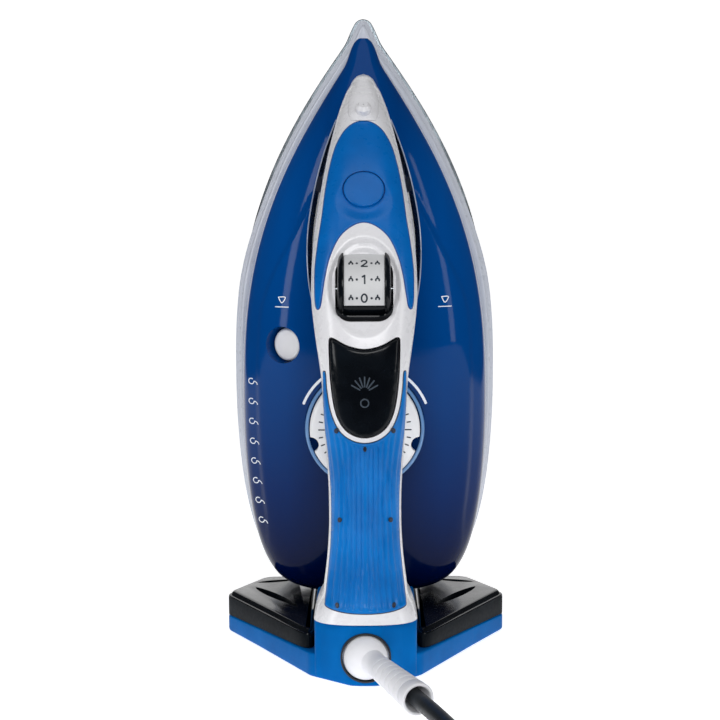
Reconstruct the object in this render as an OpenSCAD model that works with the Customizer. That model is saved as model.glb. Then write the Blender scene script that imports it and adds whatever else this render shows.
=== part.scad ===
// Steam iron standing on its heel: +Z runs up to the tip, the handle faces -Y,
// and z = 0 is the plane that the heel stands on. Millimetres.

/* [Soleplate and skirt] */
// Overall length, from the heel plane to the tip
iron_l = 290; // [288:0.5:292]
// Distance from the handle's back to the ironing face
iron_d = 148; // [147:0.5:149]
// Greatest half width of the skirt
skirt_half = 61.7; // [60.5:0.1:63]
// Thickness of the soleplate
sole_t = 2.5; // [2:0.1:3]
// Height of the skirt's upper face above the ironing face
skirt_h = 34; // [34:0.1:34.4]
// Wall of the skirt
skirt_wall = 2.4; // [2:0.1:2.6]
// Steam holes along each side of the soleplate
steam_holes = 9; // [5:1:11]

/* [Water tank] */
// Greatest half width of the tank
tank_half = 57.3; // [56:0.1:58]
// Distance from the heel plane to the tank's tip
tank_tip_l = 279; // [277:0.5:280]
// Height of the tank's crown above the ironing face
tank_h = 80; // [79:0.5:81]
// Wall of the tank
tank_wall = 2.2; // [1.8:0.1:2.6]

/* [Handle] */
// Wall of the handle shells
handle_wall = 2.6; // [2.2:0.1:2.8]
// Thickness of the inlays that lie flush in the handle
inlay_t = 1.4; // [1.2:0.1:1.5]
// Clearance round an inlay
inlay_gap = 0.1; // [0.05:0.05:0.2]

/* [Controls] */
// Radius of the steam wheel
wheel_r = 16.5; // [16:0.1:16.6]
// Half width of the steam wheel
wheel_half = 12.4; // [11.5:0.1:12.6]
// Diameter of the temperature dial
dial_d = 50; // [48:0.5:51]
// Diameter of the filler door
door_d = 17.4; // [16.5:0.1:17.6]
// Clearance between a moving part and its surround
run_gap = 0.5; // [0.4:0.05:0.6]

/* [Heel and cord] */
// Height of the heel rest's black caps
heel_h = 19; // [18.8:0.1:19]
// Diameter of the swivel ball of the cord guard
ball_d = 20; // [19.6:0.1:20]
// Diameter of the mains cord
cord_d = 7; // [6.5:0.1:7]

/* [Hidden] */
$fn = 48;
eps = 0.02;
face_y = iron_d / 2;

// Soleplate, skirt and tank outlines
wide_l = 125;
stern_l = 19.4;
skirt_low_h = 4;
tip_r = 5.2;
tank_wide_l = 115;
tank_stern_l = 21;
tank_crown_l = 140;
tank_base_t = 2.5;
gasket_t = 1;
tank_low_h = skirt_h + tank_base_t + gasket_t;
tank_tip_h = tank_low_h + 5;
dial_l = 101;
dial_seat_h = 74;
clean_at = [-33, 139, 67.5];
clean_tilt = 34;
screw_spots = [[0, 236], [-27, 60], [27, 60]];

// Handle stations: distance from the heel, half width, top height, bottom height
handle_rows = [
    [26.6, 22.3, 148, 58], [31, 21, 147.4, 60], [36, 18.6, 146, 74], [42, 17.8, 144.8, 98],
    [50, 16.8, 143.8, 109.5], [62, 15.8, 143.2, 112.5], [80, 15.6, 144, 112.5],
    [100, 16.6, 145.6, 112], [118, 17.8, 146.6, 111], [131, 18.6, 147, 108],
    [142, 20.1, 146.4, 98], [152, 21.5, 144.6, 80], [164, 22.7, 141.6, 60],
    [176, 22.6, 137.4, 58], [190, 21.6, 130.8, 56], [204, 19.6, 123, 54], [218, 17.2, 113.6, 50],
    [232, 14.2, 101.6, 46], [246, 10.4, 87, 42], [256, 6.6, 77, 40], [261, 3, 71, 40]
];
wheel_at = [0, 168, 127];
axle_d = 3;
label_from = 70;
label_arc = 132;
door_at = [0, 210.4, 119];
door_slope = 34;
door_hinge = door_d / 2 + 0.9;
funnel_d = 13;
funnel_len = 47;
nozzle_at = [0, 243, 90];
nozzle_slope = 48;
button_l = 149;
pivot_at = [0, 111, 140.4];
pump_at = [0, 143];
trim_side = [[150, 118], [192, 112], [246, 78], [246, 150], [150, 150]];
grip_low_h = 128;
screw_ls = [66, 92];
studs = [[11.6, 109.5], [0, 102], [10.4, 71], [11.7, 34.5]];

// Heel rest and tower
heel_plan = [[24.5, -56], [49.7, -3], [66, 30], [50, 64]];
heel_wall = 2.4;
tower_half = 22;
tower_back_y = 6;
tower_h = 26.4;
seam_low = 7.2;
seam_high = 10.6;
lens_z = 24.7;
ball_at = [0, -71, 12.5];
guard_mouth = [21, -124, 8.2];
guard_turn = atan2(guard_mouth.x - ball_at.x, ball_at.y - guard_mouth.y);
guard_len = norm(guard_mouth - ball_at);
guard_drop = asin((ball_at.z - guard_mouth.z) / guard_len);

// Cord route from the guard's mouth to the coil, and from the coil to the plug
cord_r = cord_d / 2;
lead_route = [
    guard_mouth, [26.6, -138, 6.9], [32.2, -153, 5.4], [37.4, -168, 4.2], [42, -183, 3.7],
    [45.8, -198, 3.6], [48.2, -213, 3.8]
];
tail_route = [
    [43.1, -261.4, 11.3], [40.4, -269, 11], [37.6, -276.6, 9.9], [33.8, -286.9, 7.5],
    [26.8, -299, 4.6], [16.3, -307.8, 3.7], [3.3, -312.6, 4.1], [-3.7, -313.2, 5.6]
];
coil_at = [-3.3, -236];
coil_in_r = 27.5;
coil_out_r = 55.9;
coil_h = 14;
coil_low_z = 0.8;
plug_at = [-3.7, -313.2, 5.6];
plug_turn = 180;
plug_tilt = 18;

// Local frame with the iron lying on its sole: x across, y towards the tip, z up from the face
module lay() {
    translate([0, face_y, 0]) rotate([90, 0, 0]) children();
}

// Keeps a shell made by subtracting lofted forms as one mesh
module moulded() {
    resize([0, 0, 0]) render() children();
}

// Half width of a pointed bow at distance l, and the two sides of a whole outline
function bow(l, w, mid, tip) = w * pow(1 - pow((l - mid) / (tip + 1.5 - mid), 2.4), 1.15);
function side(w, mid, tip, stern, blunt) = concat(
    [[0, stern]],
    [for (a = [88:-8:0]) [w * pow(cos(a), blunt), mid - (mid - stern) * pow(sin(a), 0.91)]],
    [for (i = [1:9]) let (l = mid + (tip - 8 - mid) * i / 9) [bow(l, w, mid, tip), l]],
    [for (a = [15:25:90]) [tip_r * cos(a), tip - tip_r + tip_r * sin(a)]]
);
function mirrored(half) = concat(
    half,
    [for (i = [len(half) - 1:-1:0]) if (abs(half[i].x) > 0.01) [-half[i].x, half[i].y]]
);
function skirt_outline(inset) =
    mirrored(side(skirt_half - inset, wide_l, iron_l - 1.3 * inset, stern_l + inset, 0.41));
function tank_outline(inset) =
    mirrored(side(tank_half - inset, tank_wide_l, tank_tip_l - 1.3 * inset, tank_stern_l + inset, 0.34));

// Solid through a list of rings that all have the same number of points
module loft(rings) {
    n = len(rings[0]);
    m = len(rings);
    polyhedron(
        points = [for (r = rings) each r],
        faces = concat(
            [[for (j = [n - 1:-1:0]) j]],
            [[for (j = [0:n - 1]) (m - 1) * n + j]],
            [for (i = [0:m - 2], j = [0:n - 1])
                let (a = i * n + j, b = i * n + (j + 1) % n)
                each [[a, b, b + n], [a, b + n, a + n]]]
        )
    );
}

// Water tank, grown by g: a domed section over the base outline
function crown(l) = l > tank_crown_l
    ? tank_tip_h + (tank_h - tank_tip_h) * (1 - pow((l - tank_crown_l) / (tank_tip_l - tank_crown_l), 2.5))
    : tank_h - 0.13 * (tank_crown_l - l);
function dome(l, w, top, low) = [
    for (a = [0:10:180]) [w * sign(cos(a)) * pow(abs(cos(a)), 0.72), l, low + (top - low) * pow(sin(a), 0.7)]
];
module tank_form(g, low) {
    stern = tank_stern_l - g;
    loft(concat(
        [for (a = [82, 72, 60, 46, 30, 15])
            let (l = tank_wide_l - (tank_wide_l - stern) * pow(sin(a), 0.91))
            dome(l, (tank_half + g) * pow(cos(a), 0.34), crown(l) + g, low)],
        [for (i = [0:12])
            let (
                l = tank_wide_l + (tank_tip_l - 3 + g - tank_wide_l) * pow(i / 12, 0.85),
                half = bow(l, tank_half + g, tank_wide_l, tank_tip_l + 1.5 * g)
            )
            dome(l, half, crown(min(l, tank_tip_l)) + g, low)]
    ));
}

// Handle and nose, grown by g
function handle_ring(row, g) =
    let (w = row[1] + g, top = row[2] + g, low = row[3] - g, brow = top - min(16, 0.45 * (top - low)))
    [for (a = [0:15:345]) [
        w * sign(cos(a)) * pow(abs(cos(a)), 0.75), row[0],
        brow + (sin(a) > 0 ? (top - brow) * pow(sin(a), 0.8) : (low - brow) * pow(-sin(a), 0.6))
    ]];
module handle_form(g) {
    last = len(handle_rows) - 1;
    loft([for (i = [0:last])
        let (row = handle_rows[i], push = i == 0 ? min(g, 0) < 0 ? -3 : 0 : i == last ? g : 0)
        handle_ring([row[0] + push, row[1], row[2], row[3]], g)]);
}

// Outlines on the handle, seen from above
trim_plan = mirrored([
    [0, 196.6], [5.6, 194.8], [10.8, 190], [14.6, 182], [16.6, 174], [17.9, 167], [20, 159.5],
    [20.8, 168], [20.8, 177], [19.7, 187], [18, 198], [16.6, 209], [14.8, 219], [12.2, 228.4],
    [8.6, 235], [4.4, 238.6], [0, 239.6]
]);
button_plan = mirrored([
    [0, 143.8], [7, 145.2], [14, button_l], [14.6, 140], [14.1, 130], [12.2, 118], [9.4, 111.6],
    [5, 108], [0, 106.8]
]);
inlay_plan = mirrored([
    [0, 104.2], [6, 105.6], [11, 109.6], [14.4, 117], [16, 126], [17, 134.4], [17.2, 124],
    [16.7, 110], [15.4, 98], [14.3, 80], [14.5, 62], [15.5, 50], [16.6, 40], [17, 33.4],
    [9, 31.8], [0, 31.4]
]);
module plan(outline, from, grow = 0) {
    translate([0, 0, from]) linear_extrude(160 - from) offset(delta = grow) polygon(outline);
}

// Side view of the lower handle shell, drawn as distance against height
lower_side = [[20, 40], [20, 128], [150, 126], [161, 118], [166, 100], [168, 40]];
module side_cut(points) {
    rotate([90, 0, 90]) translate([0, 0, -40]) linear_extrude(80) polygon(points);
}

module trim_prism(grow) {
    intersection() {
        plan(trim_plan, 70, grow);
        side_cut(trim_side);
    }
}

// Coil spring along z from 0 to len
module coil_spring(r, wire, len, turns) {
    steps = turns * 8;
    loft([for (i = [0:steps])
        let (a = 360 * turns * i / steps, z = wire / 2 + (len - wire) * i / steps)
        [for (b = [0:60:300])
            let (out = r + wire / 2 * cos(b))
            [out * cos(a), out * sin(a), z + wire / 2 * sin(b)]]]);
}

// Round tube swept along a list of points
function unit(v) = v / norm(v);
function along(pts, i) = unit(pts[min(i + 1, len(pts) - 1)] - pts[max(i - 1, 0)]);
module sweep(pts, r, sides) {
    loft([for (i = [0:len(pts) - 1])
        let (d = along(pts, i), u = unit(cross(d, [0, 0, 1])), v = cross(u, d))
        [for (a = [0:360 / sides:359]) pts[i] + r * (cos(a) * u + sin(a) * v)]]);
}

module skirt_screw_holes(d) {
    for (p = screw_spots) translate([p.x, p.y, 0]) cylinder(d = d, h = 100);
}

// Ironing end ---------------------------------------------------------------
module steam_hole(x, l) {
    translate([x, l, -1]) cylinder(d = 3, h = 5, $fn = 20);
}

module soleplate() {
    color("lightsteelblue") lay() difference() {
        linear_extrude(sole_t) polygon(skirt_outline(0.4));
        for (s = [-1, 1], i = [0:steam_holes - 1])
            let (l = 150 + 12 * i)
            steam_hole(s * (8 + bow(l, skirt_half - 22, wide_l, iron_l - 20)), l - 8);
        steam_hole(0, 262);
        for (s = [-1, 1], l = [62, 80, 98]) steam_hole(s * 40, l);
    }
}

module element_path(r) {
    bend_r = 26;
    leg = 108;
    translate([0, 178, 12]) {
        rotate_extrude(angle = 180) translate([bend_r, 0]) circle(r);
        for (s = [-1, 1]) translate([s * bend_r, 0, 0]) rotate([90, 0, 0]) cylinder(r = r, h = leg);
    }
}

module heater_casting() {
    color("gainsboro") lay() difference() {
        union() {
            translate([0, 0, sole_t]) linear_extrude(9.5) polygon(skirt_outline(9));
            for (p = screw_spots) translate([p.x, p.y, 12 - eps]) cylinder(d = 9, h = 13.5);
        }
        element_path(3.6);
        translate([-18, 124, 8]) cube([36, 52, 10]);
        translate([0, 0, 5]) skirt_screw_holes(3.1);
    }
}

module heating_element() {
    color("dimgray") lay() element_path(3.5);
}

module chamber_cover() {
    color("silver") lay() difference() {
        translate([-18, 124, 12.05 + 3.6 - 4.1]) cube([36, 52, 1.2]);
        translate([0, wheel_at.y, 0]) cylinder(d = 8, h = 40);
    }
}

module thermostat() {
    color("darkgoldenrod") lay() translate([0, dial_l, 12.05]) difference() {
        union() {
            cylinder(d = 22, h = 8);
            translate([-7, -20, 0]) cube([14, 40, 5]);
            cylinder(d = 12, h = 12);
        }
        translate([0, 0, 6]) cylinder(d = 6.12, h = 20);
    }
}

module thermal_fuse() {
    color("ivory") lay() translate([-12, 74, 14.1]) rotate([0, 90, 0]) cylinder(d = 4, h = 24);
}

module skirt() {
    color("white") lay() difference() {
        translate([0, 0, skirt_low_h]) linear_extrude(skirt_h - skirt_low_h) polygon(skirt_outline(0));
        difference() {
            linear_extrude(skirt_h - skirt_wall) polygon(skirt_outline(skirt_wall));
            for (p = screw_spots) translate([p.x, p.y, 25.6]) cylinder(d = 12, h = 20);
        }
        skirt_screw_holes(3.4);
        translate([0, 0, 28.4]) skirt_screw_holes(7);
        translate([0, dial_l, 0]) cylinder(d = 14, h = 50);
        translate([0, wheel_at.y, 0]) cylinder(d = 8.6, h = 50);
        for (s = [-1, 1]) translate([s * 62, 240, -20]) rotate([0, 0, s * 34]) rotate([0, s * 20, 0])
            translate([-17, -30, 0]) cube([34, 60, 32]);
    }
}

module skirt_screws() {
    color("silver") lay() for (p = screw_spots) translate([p.x, p.y, 0]) {
        translate([0, 0, 7]) cylinder(d = 3, h = 22);
        difference() {
            translate([0, 0, 28.42]) cylinder(d = 6, h = 2.4);
            translate([-0.5, -2.4, 29.6]) cube([1, 4.8, 3]);
            translate([-2.4, -0.5, 29.6]) cube([4.8, 1, 3]);
        }
    }
}

// Water tank ----------------------------------------------------------------
module tank_base() {
    color("royalblue") lay() difference() {
        union() {
            translate([0, 0, skirt_h + eps])
                linear_extrude(tank_base_t - 2 * eps) polygon(tank_outline(0.2));
            translate([0, dial_l, skirt_h + 1]) cylinder(d = 13, h = dial_seat_h - skirt_h - 4);
            translate([0, wheel_at.y, skirt_h + 1]) cylinder(d = 9, h = crown(wheel_at.y) - skirt_h + 2);
        }
        translate([0, dial_l, 0]) cylinder(d = 8, h = 100);
        translate([0, wheel_at.y, 0]) cylinder(d = 5, h = 100);
        translate([0, wheel_at.y + 8, skirt_h + tank_base_t + 3]) rotate([90, 0, 0]) cylinder(d = 3, h = 8);
    }
}

module tank_gasket() {
    color("black") lay() translate([0, 0, skirt_h + tank_base_t])
        linear_extrude(gasket_t - eps) difference() {
            polygon(tank_outline(0.4));
            polygon(tank_outline(tank_wall));
        }
}

module funnel_axis() {
    translate(door_at) rotate([-door_slope, 0, 0]) children();
}

module clean_axis() {
    translate(clean_at) rotate([0, -clean_tilt, 0]) children();
}

module tank_shell() {
    color("mediumblue") lay() moulded() difference() {
        tank_form(0, tank_low_h);
        tank_form(-tank_wall, tank_low_h - 2);
        translate([0, dial_l, dial_seat_h - 2.2]) cylinder(d = 9, h = 30, $fn = 24);
        translate([0, dial_l, dial_seat_h]) cylinder(d = 55.2, h = 30, $fn = 48);
        translate([0, wheel_at.y, 60]) cylinder(d = 9.8, h = 40, $fn = 24);
        funnel_axis() translate([0, 0, -funnel_len - 6]) cylinder(d = funnel_d + 1, h = 60, $fn = 24);
        clean_axis() translate([0, 0, -20]) cylinder(d = 16.8, h = 40, $fn = 32);
    }
    color("mediumblue") lay() moulded() difference() {
        translate([0, dial_l, dial_seat_h - 2.2]) cylinder(d = 54.6, h = 2.2, $fn = 48);
        translate([0, dial_l, dial_seat_h - 3]) cylinder(d = 9, h = 30, $fn = 24);
    }
}

module valve_seat() {
    color("gold") lay() translate([0, wheel_at.y, 13]) difference() {
        cylinder(d = 7.6, h = 20.9);
        translate([0, 0, -1]) cylinder(d = 3.16, h = 30);
    }
}

module filler_funnel() {
    color("ghostwhite") lay() funnel_axis() difference() {
        union() {
            translate([0, 0, -funnel_len]) cylinder(d = funnel_d, h = funnel_len - 6);
            translate([0, 0, -7.4]) cylinder(d = 16, h = 3);
        }
        translate([0, 0, -funnel_len - 1]) cylinder(d = funnel_d - 2.4, h = 60);
    }
}

module filler_seal() {
    color("dimgray") lay() funnel_axis() translate([0, 0, -4.35]) difference() {
        cylinder(d = 15.4, h = 1.2);
        translate([0, 0, -1]) cylinder(d = funnel_d - 2, h = 4);
    }
}

module filler_door() {
    color("dodgerblue") lay() funnel_axis() difference() {
        union() {
            translate([0, 0, -2.6]) cylinder(d = door_d, h = 2.6);
            translate([-3, 4, -2.6]) cube([6, door_hinge - 4, 2.2]);
            translate([-3, door_hinge, -1.5]) rotate([0, 90, 0]) cylinder(d = 2.6, h = 6);
        }
        translate([-5, door_hinge, -1.5]) rotate([0, 90, 0]) cylinder(d = 1.26, h = 10);
        translate([0, -18, 11]) sphere(d = 30);
    }
}

module door_pin() {
    color("silver") lay() funnel_axis()
        translate([-6, door_hinge, -1.5]) rotate([0, 90, 0]) cylinder(d = 1.2, h = 12);
}

module door_room() {
    funnel_axis() {
        translate([0, 0, -4.4]) cylinder(d = door_d + 2 * run_gap, h = 30, $fn = 32);
        translate([-3.6, 2, -4.4]) cube([7.2, door_hinge, 30]);
        translate([-6.1, door_hinge - 0.7, -2.2]) cube([12.2, 1.4, 30]);
        translate([0, 0, -7.5]) cylinder(d = 16.2, h = 4, $fn = 32);
        translate([0, 0, -60]) cylinder(d = funnel_d + 0.6, h = 60, $fn = 32);
        translate([0, -10, 12]) rotate([0, 90, 0]) cylinder(d = 28, h = 12, center = true, $fn = 24);
    }
}

// Handle --------------------------------------------------------------------
module handle_skin() {
    difference() {
        handle_form(0);
        handle_form(-handle_wall);
        tank_form(0.2, tank_low_h - 0.5);
    }
}

module stud_holes() {
    for (p = studs, s = p.x > 0 ? [-1, 1] : [1])
        translate([s * p.x, p.y, 120]) cylinder(d = 1.9, h = 40, $fn = 12);
}

module wheel_dish() {
    translate([0, 170, 152]) scale([1.02, 1.3, 0.8]) sphere(r = 18, $fn = 32);
}

module handle_upper() {
    color("white") lay() moulded() difference() {
        handle_skin();
        side_cut(lower_side);
        difference() {
            union() {
                trim_prism(inlay_gap);
                plan(inlay_plan, grip_low_h, inlay_gap);
            }
            handle_form(-inlay_t - inlay_gap);
        }
        plan(button_plan, grip_low_h, run_gap);
        wheel_dish();
        translate([-wheel_half - 1, wheel_at.y - wheel_r - 1, 100])
            cube([2 * wheel_half + 2, 2 * wheel_r + 2, 60]);
        door_room();
        translate(nozzle_at) rotate([-nozzle_slope, 0, 0])
            translate([0, 0, -12]) cylinder(d = 7.4, h = 40, $fn = 24);
        stud_holes();
    }
}

module handle_lower() {
    color("white") lay() moulded() difference() {
        intersection() {
            handle_skin();
            side_cut([for (p = lower_side) [p.x, p.y > 100 ? p.y - 0.1 : p.y]]);
        }
        for (l = screw_ls) translate([0, l, 100]) {
            cylinder(d = 6.2, h = 14.6, $fn = 20);
            cylinder(d = 3.4, h = 20, $fn = 16);
        }
    }
}

module handle_screws() {
    color("silver") lay() for (l = screw_ls) translate([0, l, 0]) {
        translate([0, 0, 114]) cylinder(d = 3, h = 18);
        translate([0, 0, 113]) cylinder(d = 5.6, h = 1.6);
    }
}

module nose_trim() {
    color("deepskyblue") lay() moulded() difference() {
        intersection() {
            handle_form(0);
            trim_prism(0);
        }
        handle_form(-inlay_t);
        door_room();
        wheel_dish();
    }
}

module grip_inlay() {
    color("dodgerblue") lay() moulded() difference() {
        intersection() {
            handle_form(0);
            plan(inlay_plan, grip_low_h);
        }
        handle_form(-inlay_t);
        stud_holes();
    }
}

function stud_top(p) = lookup(p.y, [for (r = handle_rows) [r[0], r[2]]]) - 0.012 * p.x * p.x;
module grip_studs() {
    color("midnightblue") lay() for (p = studs, s = p.x > 0 ? [-1, 1] : [1])
        translate([s * p.x, p.y, stud_top(p) - 4.4]) cylinder(d = 1.6, h = 4.2, $fn = 16);
}

module spray_nozzle() {
    color("whitesmoke") lay() translate(nozzle_at) rotate([-nozzle_slope, 0, 0]) difference() {
        union() {
            translate([0, 0, -9]) cylinder(d = 6.8, h = 13);
            translate([0, 0, 4 - eps]) cylinder(d1 = 6.8, d2 = 4, h = 1.4);
        }
        translate([0, 0, -10]) cylinder(d = 3.4, h = 12);
        translate([0, 0, 0]) cylinder(d = 0.8, h = 8, $fn = 16);
    }
}

module spray_tube() {
    color("azure") lay() sweep([
        [0, 152.3, 112], [0, 153.4, 111.9], [0.4, 154.8, 109.6], [3, 155.4, 102], [6, 156, 95.4],
        [9, 161, 91], [9.5, 172, 90], [9.5, 186, 90], [9.5, 200, 90], [8, 214, 89],
        [4.5, 226, 86.6], [0, 235.6, 83.2]
    ], 1.5, 8);
}

// Steam control -------------------------------------------------------------
module wheel_bracket() {
    color("lightgray") lay() difference() {
        union() {
            for (s = [-1, 1]) translate([s * 14.6 - 0.9, 161, 98]) cube([1.8, 14, 32]);
            translate([-15.5, 158, 98]) cube([31, 20, 2.4]);
        }
        translate([-20, wheel_at.y, wheel_at.z]) rotate([0, 90, 0]) cylinder(d = axle_d + 0.04, h = 40);
        translate([0, wheel_at.y, 90]) cylinder(d = 3.3, h = 20);
    }
}

module wheel_axle() {
    color("silver") lay() translate([-16, wheel_at.y, wheel_at.z])
        rotate([0, 90, 0]) cylinder(d = axle_d, h = 32);
}

module steam_wheel() {
    label_r = wheel_r - 0.9;
    color("black") lay() translate(wheel_at) rotate([0, 90, 0]) difference() {
        union() {
            cylinder(r = label_r - 2, h = 2 * wheel_half, center = true, $fn = 64);
            for (s = [-1, 1]) translate([0, 0, s * (wheel_half - 1.7)])
                cylinder(r = wheel_r, h = 3.4, center = true, $fn = 64);
            rotate_extrude(angle = 360 - label_arc - 1, start = label_from + label_arc + 0.5)
                translate([label_r - 3, -wheel_half + 3]) square([3, 2 * wheel_half - 6]);
        }
        cylinder(d = axle_d + 0.16, h = 60, center = true);
    }
}

module wheel_label() {
    label_r = wheel_r - 0.9;
    color("white") lay() translate(wheel_at) rotate([0, 90, 0])
        rotate_extrude(angle = label_arc, start = label_from)
            translate([label_r - 1.98, -wheel_half + 3.45]) square([1.98, 2 * wheel_half - 6.9]);
}

module valve_rod() {
    color("silver") lay() translate([0, wheel_at.y, 0]) {
        translate([0, 0, 16]) cylinder(d = 3, h = 89);
        translate([0, 0, 104.9]) cylinder(d = 7, h = 2.4);
    }
}

module valve_spring() {
    color("gray") lay() translate([0, wheel_at.y, 100.5]) coil_spring(2.7, 0.7, 4.3, 3);
}

module steam_button() {
    color("black") lay() difference() {
        union() {
            moulded() difference() {
                intersection() {
                    handle_form(0.3);
                    plan(button_plan, grip_low_h);
                }
                handle_form(-3);
            }
            for (s = [-1, 1]) translate([s * 4 - 1, pivot_at.y - 2, pivot_at.z - 2]) cube([2, 4, 4.4]);
        }
        translate([-10, pivot_at.y, pivot_at.z]) rotate([0, 90, 0]) cylinder(d = 2.1, h = 20);
    }
}

module button_pin() {
    color("silver") lay() translate([-9.5, pivot_at.y, pivot_at.z])
        rotate([0, 90, 0]) cylinder(d = 2, h = 19);
}

module pump_body() {
    color("whitesmoke") lay() translate([pump_at.x, pump_at.y, 107]) difference() {
        union() {
            cylinder(d = 14, h = 20);
            translate([0, 0, 5]) rotate([-90, 0, 0]) cylinder(d = 4, h = 9.2);
        }
        translate([0, 0, 2]) cylinder(d = 10.1, h = 30);
        translate([0, 0, 5]) rotate([-90, 0, 0]) cylinder(d = 2, h = 12);
    }
}

module pump_piston() {
    color("dimgray") lay() translate([pump_at.x, pump_at.y, 0]) {
        translate([0, 0, 119]) cylinder(d = 10, h = 5);
        translate([0, 0, 123.9]) cylinder(d = 5, h = 18.5);
        translate([0, 0, 129]) cylinder(d = 9, h = 1.4);
    }
}

module pump_spring() {
    color("gray") lay() translate([pump_at.x, pump_at.y, 109.1]) coil_spring(3.6, 0.9, 9.8, 4);
}

// Temperature control ---------------------------------------------------------
module temperature_dial() {
    color("white") lay() translate([0, dial_l, dial_seat_h + 0.6]) difference() {
        union() {
            cylinder(d = dial_d, h = 5, $fn = 96);
            translate([0, 0, 5 - eps]) cylinder(d1 = dial_d - 1, d2 = dial_d - 5, h = 1.6, $fn = 96);
        }
        for (s = [-1, 1]) translate([s * (dial_d / 2 - 0.6), -7, -1]) cylinder(d = 7, h = 12);
        translate([0, 0, -1]) cylinder(d = 6, h = 4);
    }
}

module dial_shaft() {
    color("silver") lay() translate([0, dial_l, 18.3]) cylinder(d = 6, h = dial_seat_h + 3.5 - 18.3);
}

module dial_ring() {
    color("deepskyblue") lay() translate([0, dial_l, dial_seat_h + eps]) difference() {
        cylinder(d = 54.4, h = 3.4, $fn = 96);
        translate([0, 0, -1]) cylinder(d = dial_d + 1, h = 10, $fn = 96);
    }
}

module self_clean_guide() {
    color("gainsboro") lay() clean_axis() difference() {
        union() {
            translate([0, 0, -9]) cylinder(d = 16.4, h = 8);
            translate([0, 0, -14]) cylinder(d = 9, h = 6);
        }
        translate([0, 0, -7]) cylinder(d = 15.1, h = 20);
        translate([0, 0, -20]) cylinder(d = 5.12, h = 30);
    }
}

module self_clean_button() {
    color("white") lay() clean_axis() {
        translate([0, 0, -1.6]) cylinder(d = 15, h = 5);
        translate([0, 0, 3.38]) cylinder(d1 = 15, d2 = 12.6, h = 1.2);
        translate([0, 0, -20]) cylinder(d = 5, h = 18.5);
    }
}

module self_clean_spring() {
    color("gray") lay() clean_axis() translate([0, 0, -6.95]) coil_spring(4.4, 0.8, 5.3, 3);
}

// Heel ----------------------------------------------------------------------
function rounded(pts, r) = [
    for (i = [0:len(pts) - 1])
        let (
            p = pts[i],
            a = unit(pts[(i + len(pts) - 1) % len(pts)] - p),
            b = unit(pts[(i + 1) % len(pts)] - p),
            half = acos(a * b) / 2,
            start = p + a * r / tan(half),
            end = p + b * r / tan(half),
            bend = [for (t = [0:0.25:1]) (1 - t) * (1 - t) * start + 2 * t * (1 - t) * p + t * t * end]
        )
        each (half > 80 ? [p] : bend)
];
heel_outline = rounded(concat(
    [for (a = [-14:7:14]) [28.5 * sin(a), -45.5 - 28.5 * cos(a)]],
    heel_plan,
    [for (i = [3:-1:0]) [-heel_plan[i].x, heel_plan[i].y]]
), 4);
module heel_prism(inset, from, to) {
    translate([0, 0, from]) linear_extrude(to - from) offset(delta = -inset) polygon(heel_outline);
}

// Room above the slanting seam on the side s
module above_seam(s, lift) {
    from_x = tower_half + 0.4;
    rotate([90, 0, 0]) translate([0, 0, -80]) linear_extrude(160) polygon([
        [s * from_x, seam_high + lift], [s * 70, seam_low + lift], [s * 70, 60], [s * from_x, 60]
    ]);
}

module tower_block(inset, from, to) {
    intersection() {
        heel_prism(inset, from, to);
        translate([-tower_half + inset, -100, from - 1])
            cube([2 * (tower_half - inset), 100 + tower_back_y - inset, to - from + 2]);
    }
}

module turned_ball(d) {
    rotate_extrude() intersection() {
        circle(d = d);
        translate([0, -d]) square(2 * d);
    }
}

module rear_cover() {
    color("dodgerblue") difference() {
        union() {
            difference() {
                heel_prism(0, 0, seam_high);
                above_seam(1, 0);
                above_seam(-1, 0);
                heel_prism(heel_wall, heel_wall, 60);
            }
            difference() {
                tower_block(0, 0, tower_h);
                tower_block(heel_wall, heel_wall, 60);
            }
            translate([ball_at.x, -50, ball_at.z]) rotate([90, 0, 0]) cylinder(d = 24, h = 21);
            for (s = [-1, 1], y = [-30, 40]) translate([s * 14, y, 1]) cylinder(d = 8, h = 8);
        }
        translate(ball_at) turned_ball(ball_d + 0.6);
        translate([0, -73.2, ball_at.z]) rotate([90, 0, 0]) cylinder(d = 22, h = 20);
        translate([ball_at.x, -66, ball_at.z]) rotate([-90, 0, 0]) cylinder(d = 9, h = 30);
        for (s = [-1, 1], y = [-30, 40]) translate([s * 14, y, 1.5]) cylinder(d = 3.06, h = 30);
        translate([0, -49, lens_z]) rotate([90, 0, 0]) cylinder(d = 2.5, h = 30);
    }
}

module heel_rest(s) {
    color("black") difference() {
        intersection() {
            heel_prism(0, 0, heel_h);
            above_seam(s, 0.05);
        }
        intersection() {
            heel_prism(2.6, 0, heel_h - 2.6);
            translate([s * 2.6, 0, -1]) above_seam(s, 0);
        }
        translate([s * (tower_half + 8) - 7, -24, 0]) rotate([0, 0, -s * 26])
            translate([4, -26, heel_h - 1.6]) cube([2.4, 60, 5]);
    }
}

module heel_rest_left() {
    heel_rest(-1);
}

module heel_rest_right() {
    heel_rest(1);
}

module cover_screws() {
    color("silver") for (s = [-1, 1], y = [-30, 40]) translate([s * 14, y, 0]) {
        translate([0, 0, 3]) cylinder(d = 3, h = 11);
        translate([0, 0, 9.05]) cylinder(d = 6, h = 2);
    }
}

module terminal_block() {
    color("ivory") translate([-13, 8, heel_wall + 0.1]) difference() {
        cube([26, 18, 12]);
        for (i = [0:2]) translate([5 + 8 * i, 20, 7]) rotate([90, 0, 0]) cylinder(d = 3.4, h = 24);
        for (i = [0:2], y = [5, 13]) translate([5 + 8 * i, y, 7]) cylinder(d = 3, h = 10);
    }
}

module indicator_lamp() {
    color("orange") translate([0, -49.4, lens_z - 1]) rotate([-90, 0, 0]) cylinder(d = 4, h = 8);
}

module indicator_lens() {
    color("darkslategray") translate([0, -49.6, lens_z]) rotate([90, 0, 0]) cylinder(d = 2.4, h = 24.2);
}

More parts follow.
